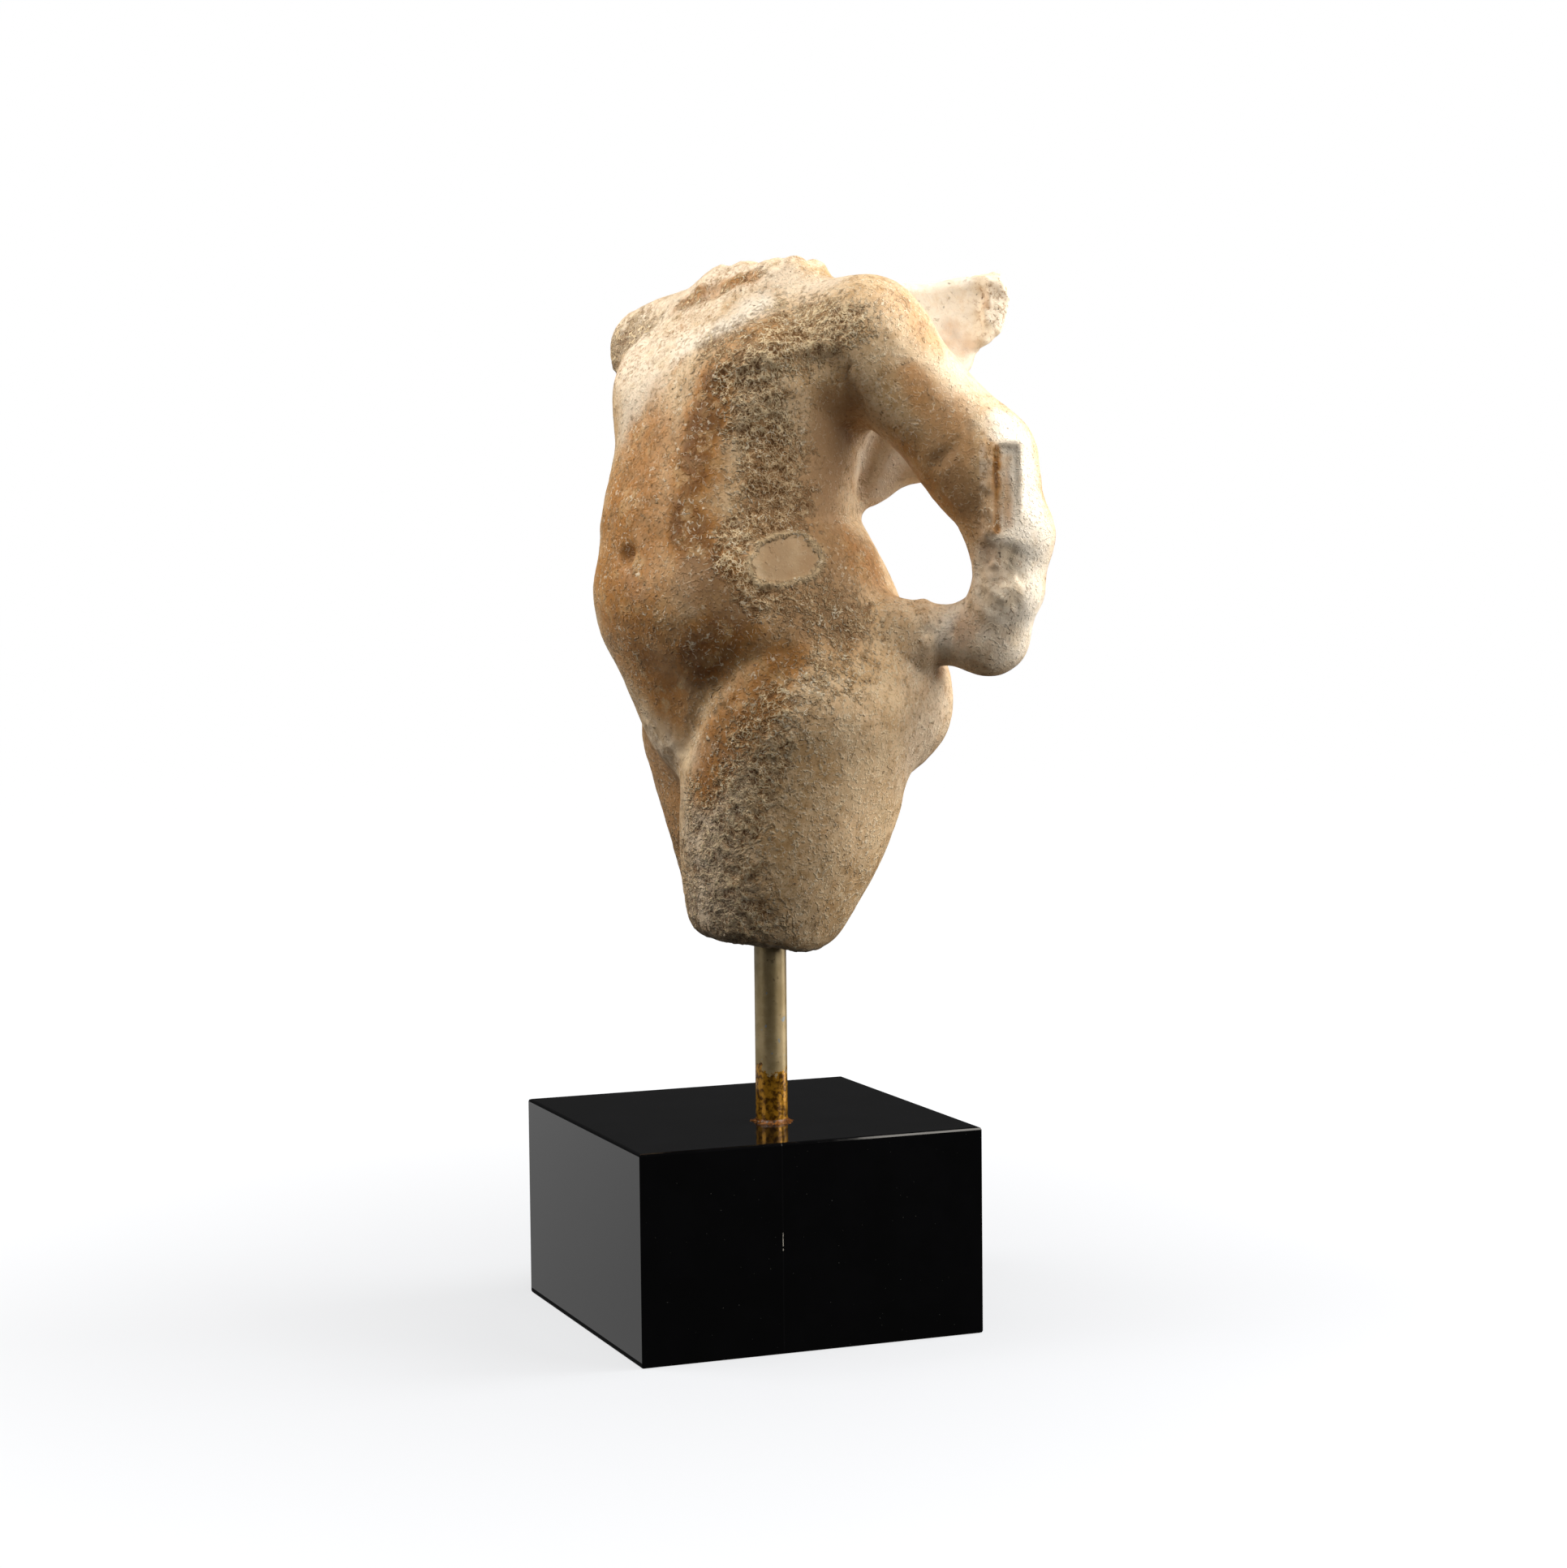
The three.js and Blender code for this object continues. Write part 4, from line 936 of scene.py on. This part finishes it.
SHADED = ("crust", "patina", "pale", "smooth", "fibre", "painted_shade", "broken", "rim", "hollow", "crumbs")
MARBLE_NOISES = {
    "cloud": (26, 2, 0), "patch": (9, 4, 1), "mottle": (3.4, 4, 2), "speck": (1.2, 3, 3),
    "line 1": (2.6, 1, 5), "line 2": (1.9, 1, 6), "line 3": (3.6, 1, 7),
    "gaps": (1.5, 1, 8), "some": (12, 2, 9), "dots": (1.3, 0, 10), "clump": (0.8, 2, 11),
}
MARBLE_STEPS = {
    # fibres and crumbs: thin lines where smooth noise passes through a half
    "strand 1": ("line 1", 0.5, 0.035, 0.008), "strand 2": ("line 2", 0.5, 0.045, 0.01),
    "strand 3": ("line 3", 0.5, 0.02, 0.005), "tangle": ("MAXIMUM", "strand 1", "strand 2", "strand 3"),
    "kept": ("gaps", 0.5, 0.62, 0, 1), "hair 1": ("MULTIPLY", "strand 1", "kept"),
    "hair 3": ("MULTIPLY", "strand 3", "kept"), "hairs": ("MAXIMUM", "hair 1", "hair 3"),
    "not smooth": ("smooth", 0, 1, 1, 0.2), "thick": ("some", 0.4, 0.58, 0.45, 1),
    "dense a": ("MULTIPLY", "fibre", "thick"), "dense b": ("MULTIPLY", "thick", 0.7),
    "dense": ("MAXIMUM", "dense a", "dense b"), "fibres": ("MULTIPLY", "dense", "not smooth", "hairs"),
    # the crust, whose edge breaks up into crumbs, with dark gaps and pale tips
    "edge a": ("MULTIPLY", "mottle", 1.5), "edge b": ("MULTIPLY", "speck", 1.2),
    "edge": ("ADD", "edge a", "edge b", "crust"), "crusty": ("edge", 1.55, 2.15, 0, 1),
    "heap a": ("MULTIPLY", "tangle", 0.35), "heap b": ("MULTIPLY", "speck", 0.8),
    "heap c": ("MULTIPLY", "crumbs", 0.35), "pile": ("ADD", "heap a", "heap b", "heap c"),
    "crumb": ("pile", 0.35, 0.8, 0, 1), "low": ("pile", 0.52, 0.38, 0, 0.85),
    "high": ("pile", 0.66, 0.9, 0, 0.85), "off rim": ("rim", 0, 0.8, 1, 0.15),
    "gap": ("MULTIPLY", "low", "crusty", "off rim"), "lime": ("MULTIPLY", "crusty", 0.4),
    # the crust's pale tips are dimmed under the painted shade
    "dim": ("painted_shade", 0, 1, 1, 0.4), "crust tip": ("MULTIPLY", "high", "crusty", "dim"),
    "rim tip": ("MULTIPLY", "rim", 0.6), "tip": ("MAXIMUM", "crust tip", "rim tip"),
    # the skin, from its ground to the painted shade and the dark brown of the hollows
    "ground": ("cloud", 0.38, 0.62, 0, 1), "blotch": ("patch", 0.42, 0.62, 0, 0.75),
    "clean": ("pale", 0.2, 0.8, 1, 0.3), "freckle": ("mottle", 0.4, 0.74, 0, 0.65),
    "freckled": ("MULTIPLY", "freckle", "clean", "not smooth"),
    "sugar": ("speck", 0.5, 0.66, 0, 0.8), "sugary": ("MULTIPLY", "sugar", "not smooth"),
    "dust": ("clump", 0.48, 0.3, 0, 0.6), "dusty": ("MULTIPLY", "dust", "clean", "not smooth"),
    "white": ("mottle", 0.25, 0.6, 0.6, 1), "bleached": ("MULTIPLY", "pale", "white"),
    "rust": ("patch", 0.25, 0.55, 0.75, 1), "stain": ("patina", 0, 0.9, 0, 1),
    "stained": ("MULTIPLY", "stain", "rust"),
    "deeper": ("patina", 0.7, 1, 0, 1), "deep spots": ("mottle", 0.45, 0.65, 0, 0.6),
    "lost patches": ("patch", 0.52, 0.64, 0, 0.75), "lost spots": ("mottle", 0.4, 0.56, 0, 1),
    "worn": ("MULTIPLY", "lost patches", "lost spots", "stained"),
    "honey": ("patch", 0.45, 0.72, 0, 0.4), "honeyed": ("MULTIPLY", "honey", "clean", "not smooth"),
    # painted shade: the grey-brown laid where the arm shades the body and the light falls off
    "in_painted_shade": ("painted_shade", 0, 1, 0, 0.9), "shut": ("hollow", 0.3, 0.75, 0, 0.7),
    # a dark brown laid into the hollows by how shut in they are: partly dirt, partly painted shade
    "soil_and_shade": ("MULTIPLY", "shut", "rust"),
    "dot": ("dots", 0.79, 0.86, 0, 0.7), "pit": ("MULTIPLY", "dot", "not smooth"),
    # the broken faces
    "lean": ("patch", 0.3, 0.62, 0, 1), "torn": ("broken", 0.1, 0.7, 0, 0.7),
    "torn spots": ("speck", 0.5, 0.62, 0, 0.75), "torn patches": ("patch", 0.35, 0.6, 0.2, 1),
    "torn stain": ("MULTIPLY", "torn spots", "torn patches", "torn"),
    # gloss and height
    "dull crust": ("crusty", 0, 1, 0.55, 0.95), "dull break": ("broken", 0, 1, 0.55, 0.8),
    "roughness": ("MAXIMUM", "dull crust", "dull break"),
    "crust rise": ("MULTIPLY", "crusty", "crumb", 0.9), "fibre rise": ("MULTIPLY", "fibres", 0.15),
    "sugar rise": ("MULTIPLY", "sugary", 0.3), "risen": ("ADD", "crust rise", "fibre rise", "sugar rise"),
    "pit sink": ("MULTIPLY", "pit", 0.25), "torn sink": ("MULTIPLY", "torn stain", 0.7),
    "sunk": ("ADD", "pit sink", "torn sink"), "rise": ("SUBTRACT", "risen", "sunk"),
}


def marble_material():
    """Fine white marble, once smooth and long buried: a warm skin with a sugary grain and short pale
    fibres, an orange-brown iron patina, a grey-brown painted shade where the arm shades the body and
    the light falls off, a dark brown in the hollows that is partly dirt and partly painted shade, a
    dull granular crust of lime and earth with dark gaps and pale tips, and paler broken faces. The
    fibres and crumbs are half a millimetre across, a little coarser than the real ones, to show."""
    material, tree, shader = new_material("weathered_white_marble")
    known = {name: node(tree, "Attribute", {}, "Fac", attribute_name=name) for name in SHADED}
    known = worked(tree, MARBLE_NOISES, MARBLE_STEPS, known)
    ground = painted(tree, known, "#e0c19a", {"ground": "#cba87c"})
    rust = painted(tree, known, "#b47b39", {"deeper": "#754817", "deep spots": "#7f5220"})
    stone = painted(tree, known, "#e6cfae", {"lean": "#fff5e4"})
    colour = painted(tree, known, ground, {
        "blotch": "#e8d4b2", "sugary": "#ecdbbc", "bleached": "#fff9ee", "torn": stone,
        "torn stain": "#a8783f", "stained": rust, "worn": "#cfb68c", "freckled": "#a07a4a",
        # 8a5c2c is the dark brown of the hollows: partly dirt, partly painted shade
        # a78662 is the painted shade
        "honeyed": "#c98f4c", "in_painted_shade": "#a78662", "dusty": "#8f6d45", "soil_and_shade": "#8a5c2c",
        "lime": "#a07a54", "gap": "#57391d", "tip": "#efd9b2", "fibres": "#f0e4cd", "pit": "#5a3f26",
    })
    bump = node(tree, "Bump", {"Height": known["rise"], "Distance": 0.9 * MM, "Strength": 1.0})
    connect(tree, shader, {
        "Base Color": colour, "Roughness": known["roughness"], "Normal": bump,
        "IOR": 1.49, "Specular IOR Level": 0.25,
    })
    return material


ROD_NOISES = {"cloud": (6, 4, 0), "mottle": (1.6, 4, 1), "chips": (2.6, 1, 2)}
VARNISH_TOP = BLOCK_TOP + 16
VARNISH_RAGGED = 14  # how far its edge wanders up and down
VARNISH_EDGE = (VARNISH_TOP - VARNISH_RAGGED / 2) * MM
ROD_STEPS = {
    "dip": ("MULTIPLY", "cloud", -VARNISH_RAGGED * MM), "wave": ("ADD", "dip", "height"),
    "varnish": ("wave", VARNISH_EDGE + 0.3 * MM, VARNISH_EDGE - 0.3 * MM, 0, 1),
    "dry": ("varnish", 0, 1, 1, 0), "ground": ("cloud", 0.35, 0.65, 0, 1),
    "specks": ("mottle", 0.62, 0.7, 0, 0.6), "dirty": ("mottle", 0.4, 0.62, 0, 1),
    "chip": ("chips", 0.7, 0.73, 0, 0.9), "bare": ("MULTIPLY", "chip", "dry"),
    "roughness": ("varnish", 0, 1, 0.42, 0.2),
}


def rod_material():
    """Drawn brass gone dull: a beige-grey tarnish with dark specks and a few bare chips, and a glossy
    amber varnish that runs up from the foot to a ragged edge."""
    material, tree, shader = new_material("tarnished_brass")
    where = node(tree, "TexCoord", {}, "Object")
    height = node(tree, "SeparateXYZ", {"Vector": where}, "Z")
    known = worked(tree, ROD_NOISES, ROD_STEPS, {"height": height})
    tarnish = painted(tree, known, "#b5a27c", {"ground": "#a08d66"})
    amber = painted(tree, known, "#c08a26", {"dirty": "#5b3a0c"})
    colour = painted(tree, known, tarnish, {"specks": "#5a4c34", "varnish": amber, "bare": "#8d979c"})
    bump = node(tree, "Bump", {"Height": known["mottle"], "Distance": 0.15 * MM, "Strength": 0.6})
    connect(tree, shader, {
        "Base Color": colour, "Roughness": known["roughness"], "Normal": bump, "Metallic": 0.5,
    })
    return material


def adhesive_material():
    """Old animal glue: amber, brittle and glossy, with trapped dirt."""
    material, tree, shader = new_material("amber_glue")
    known = worked(tree, {"mottle": (0.9, 4, 0)}, {"dirty": ("mottle", 0.35, 0.65, 0, 1)}, {})
    colour = painted(tree, known, "#7d4a12", {"dirty": "#2e1a06"})
    bump = node(tree, "Bump", {"Height": known["mottle"], "Distance": 0.3 * MM, "Strength": 0.8})
    connect(tree, shader, {"Base Color": colour, "Roughness": 0.28, "Normal": bump})
    return material


# The hairline joint down the block's wide face, and the nick on it
JOINT_PLACE = -10.2
NICK_LOW, NICK_HIGH, NICK_FADE = 31.0, 36.8, 0.4
BLOCK_NOISES = {"cloud": (16, 4, 0), "grit": (1.2, 1, 1), "dust": (0.7, 1, 2)}
BLOCK_STEPS = {
    "joint": ("Y", JOINT_PLACE * MM, 0.16 * MM, 0.07 * MM), "wide face": ("X", 54.5 * MM, 54.9 * MM, 0, 1),
    "groove": ("MULTIPLY", "joint", "wide face"), "hairline": ("groove", 0, 1, 0, 0.5),
    "above": ("Z", NICK_LOW * MM, (NICK_LOW + NICK_FADE) * MM, 0, 1),
    "below": ("Z", NICK_HIGH * MM, (NICK_HIGH - NICK_FADE) * MM, 0, 1),
    "span": ("MULTIPLY", "above", "below"), "ragged": ("grit", 0.38, 0.5, 0, 1),
    "nick": ("MULTIPLY", "groove", "span", "ragged"), "dusty": ("dust", 0.78, 0.82, 0, 0.3),
    "ground": ("cloud", 0.4, 0.7, 0, 1), "haze": ("cloud", 0.4, 0.7, 0.04, 0.09),
    "dull": ("nick", 0, 1, 0, 0.7), "roughness": ("ADD", "haze", "dull"),
}


def block_material():
    """Black stone ground and polished to a mirror, with a hairline joint down the wide face, a white
    nick on the joint, and a few specks of dust."""
    material, tree, shader = new_material("polished_black_stone")
    where = node(tree, "TexCoord", {}, "Object")
    known = {axis: node(tree, "SeparateXYZ", {"Vector": where}, axis) for axis in "XYZ"}
    known = worked(tree, BLOCK_NOISES, BLOCK_STEPS, known)
    colour = painted(tree, known, "#050506", {
        "ground": "#08080a", "dusty": "#8a8a88", "hairline": "#1c1c1e", "nick": "#d2cfc6",
    })
    inputs = {"Height": known["groove"], "Distance": 0.04 * MM, "Strength": 0.3}
    bump = node(tree, "Bump", inputs, invert=True)
    connect(tree, shader, {
        "Base Color": colour, "Roughness": known["roughness"], "Normal": bump, "IOR": 1.5,
    })
    return material


# The camera, solved from the block's corners: where it stands in millimetres and its three axes
CAMERA_PLACE = (916.24, -349.23, 229.34)
CAMERA_AZIMUTH, CAMERA_ELEVATION, CAMERA_ROLL = map(math.radians, (68.42, 3.66, -0.60))
FOCAL_PIXELS = 3884
LONG_SIDE_PIXELS = 1932
SENSOR = 36.0


def camera_axes():
    """The camera's right, up and back, from its azimuth, elevation and roll."""
    a, e, r = CAMERA_AZIMUTH, CAMERA_ELEVATION, CAMERA_ROLL
    back = np.array((math.sin(a) * math.cos(e), -math.cos(a) * math.cos(e), math.sin(e)))
    right = np.array((math.cos(a), math.sin(a), 0))
    up = np.cross(back, right)
    right, up = right * math.cos(r) + up * math.sin(r), up * math.cos(r) - right * math.sin(r)
    return right, up, back


RIGHT, UP, BACK = camera_axes()
AIM = np.array((0.0, 0.0, 190.0))


def make_camera():
    """The camera at the photograph's place and angle."""
    camera = bpy.data.objects.new("camera", bpy.data.cameras.new("camera"))
    camera.data.sensor_width = SENSOR
    camera.data.lens = FOCAL_PIXELS / LONG_SIDE_PIXELS * SENSOR
    camera.data.clip_start, camera.data.clip_end = 0.05, 50
    camera.matrix_world = to_matrix(RIGHT, UP, BACK, np.array(CAMERA_PLACE) * MM)
    bpy.context.scene.collection.objects.link(camera)
    bpy.context.scene.camera = camera


def to_matrix(right, up, back, place):
    """A placing matrix from three axes and a place."""
    matrix = np.eye(4)
    matrix[:3, 0], matrix[:3, 1], matrix[:3, 2], matrix[:3, 3] = right, up, back, place
    return mathutils.Matrix(matrix.tolist())


# A warm white, as linear red, green and blue
LIGHT_COLOUR = (1.0, 0.95, 0.87)
# Each light: its name, the way to it along the camera's right, up and back to the camera, its
# distance from the aim and its side in metres, and its watts
LIGHTS = [
    ("right near", 0.8, 0.6, -0.1, 0.5, 0.25, 2.9), ("right far", 0.6, 0.8, 0.1, 1.0, 0.5, 1.8),
    ("right low", 0.9, -0.15, -0.25, 1.0, 0.5, 2.2), ("left near", -0.8, 0.6, 0.0, 0.5, 0.25, 1.6),
    ("left far", -0.6, 0.8, 0.1, 1.0, 0.5, 2.2), ("left low", -0.75, 0.1, 0.4, 1.0, 0.5, 1.1),
    ("arm", 0.85, 0.05, 0.5, 0.45, 0.2, 0.75), ("front", 0.1, 0.85, 0.5, 0.6, 0.3, 1.5),
]


def softbox(name, right, up, back, distance, side, watts):
    """A square soft light at a distance in metres from the figure's middle, in a direction given
    along the camera's right, the upright and the way back to the camera, facing the figure."""
    light = bpy.data.lights.new(name, "AREA")
    light.energy, light.size, light.color = watts, side, LIGHT_COLOUR
    way = right * RIGHT + up * np.array((0, 0, 1)) + back * BACK
    way /= np.linalg.norm(way)
    across = np.cross((0, 0, 1), way)
    across /= np.linalg.norm(across)
    lamp = bpy.data.objects.new(name, light)
    lamp.matrix_world = to_matrix(across, np.cross(way, across), way, AIM * MM + distance * way)
    bpy.context.scene.collection.objects.link(lamp)
    return lamp


def studio_sheet(name, corners, finish, glow, inputs, unseen_by):
    """A flat sheet that gives light by itself: the glow has two distances from the middle, and the
    strength at each. It is left out of the kinds of ray it is unseen by."""
    sheet = new_piece(name, corners, [(0, 1, 2, 3)])
    material, tree, shader = new_material(finish)
    where = node(tree, "TexCoord", {}, "Object")
    away = node(tree, "VectorMath", {0: where}, "Value", operation="LENGTH")
    strength = node(tree, "MapRange", {0: away, **dict(enumerate(glow, 1))})
    connect(tree, shader, {"Emission Color": (1, 1, 1, 1), "Emission Strength": strength, **inputs})
    sheet.data.materials.append(material)
    for ray in unseen_by:
        setattr(sheet, "visible_" + ray, False)
    return sheet


def make_floor():
    """A pale floor that is lit a little by itself, more so far away, where it meets the backdrop."""
    half = 12.0
    corners = [(-half, -half, 0), (half, -half, 0), (half, half, 0), (-half, half, 0)]
    inputs = {"Base Color": linear("#686c74"), "Roughness": 0.9, "Specular IOR Level": 0.0}
    glow = (0.08, 0.5, 0.7, 1.0)
    floor = studio_sheet("floor", corners, "white_paper_sweep", glow, inputs, ("glossy", "diffuse"))


def make_card():
    """A grey card lying beside the block, seen only as a reflection in its narrow face."""
    corners = [(-1.6, -1.1, 0.001), (0.06, -1.1, 0.001), (0.06, -0.056, 0.001), (-1.6, -0.056, 0.001)]
    inputs = {"Base Color": (0, 0, 0, 1)}
    glow = (0.05, 0.9, 0.36, 0.6)
    card = studio_sheet("card", corners, "grey_card", glow, inputs, ("camera", "diffuse", "shadow"))


def make_world():
    """A white backdrop for the camera, nearly black in reflections, and no light on the surfaces."""
    world = bpy.data.worlds.new("studio")
    world.use_nodes = True
    tree = world.node_tree
    seen = node(tree, "LightPath", {}, "Is Camera Ray")
    mirrored = node(tree, "LightPath", {}, "Is Glossy Ray")
    dim = node(tree, "Math", {0: mirrored, 1: 0.035}, operation="MULTIPLY")
    strength = node(tree, "Math", {0: seen, 1: dim}, operation="ADD")
    tree.links.new(strength, tree.nodes["Background"].inputs["Strength"])
    tree.nodes["Background"].inputs["Color"].default_value = (1, 1, 1, 1)
    bpy.context.scene.world = world


def make_studio():
    """The lights: three at each side of the figure, one close to the arm and one in front."""
    for light in LIGHTS:
        softbox(*light)
    bpy.context.scene.view_settings.view_transform = "Standard"


carved_marble = make_marble()
carved_marble.data.materials.append(marble_material())
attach(carved_marble, "root")
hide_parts("marble_torso")

brass_rod = make_rod()
brass_rod.data.materials.append(rod_material())
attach(brass_rod, "root")
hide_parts("support_rod")

adhesive_collar = make_adhesive()
adhesive_collar.data.materials.append(adhesive_material())
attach(adhesive_collar, "root")

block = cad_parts["base_block"]
block.data.materials.clear()
block.data.materials.append(block_material())

make_camera()
make_floor()
make_card()
make_world()
make_studio()
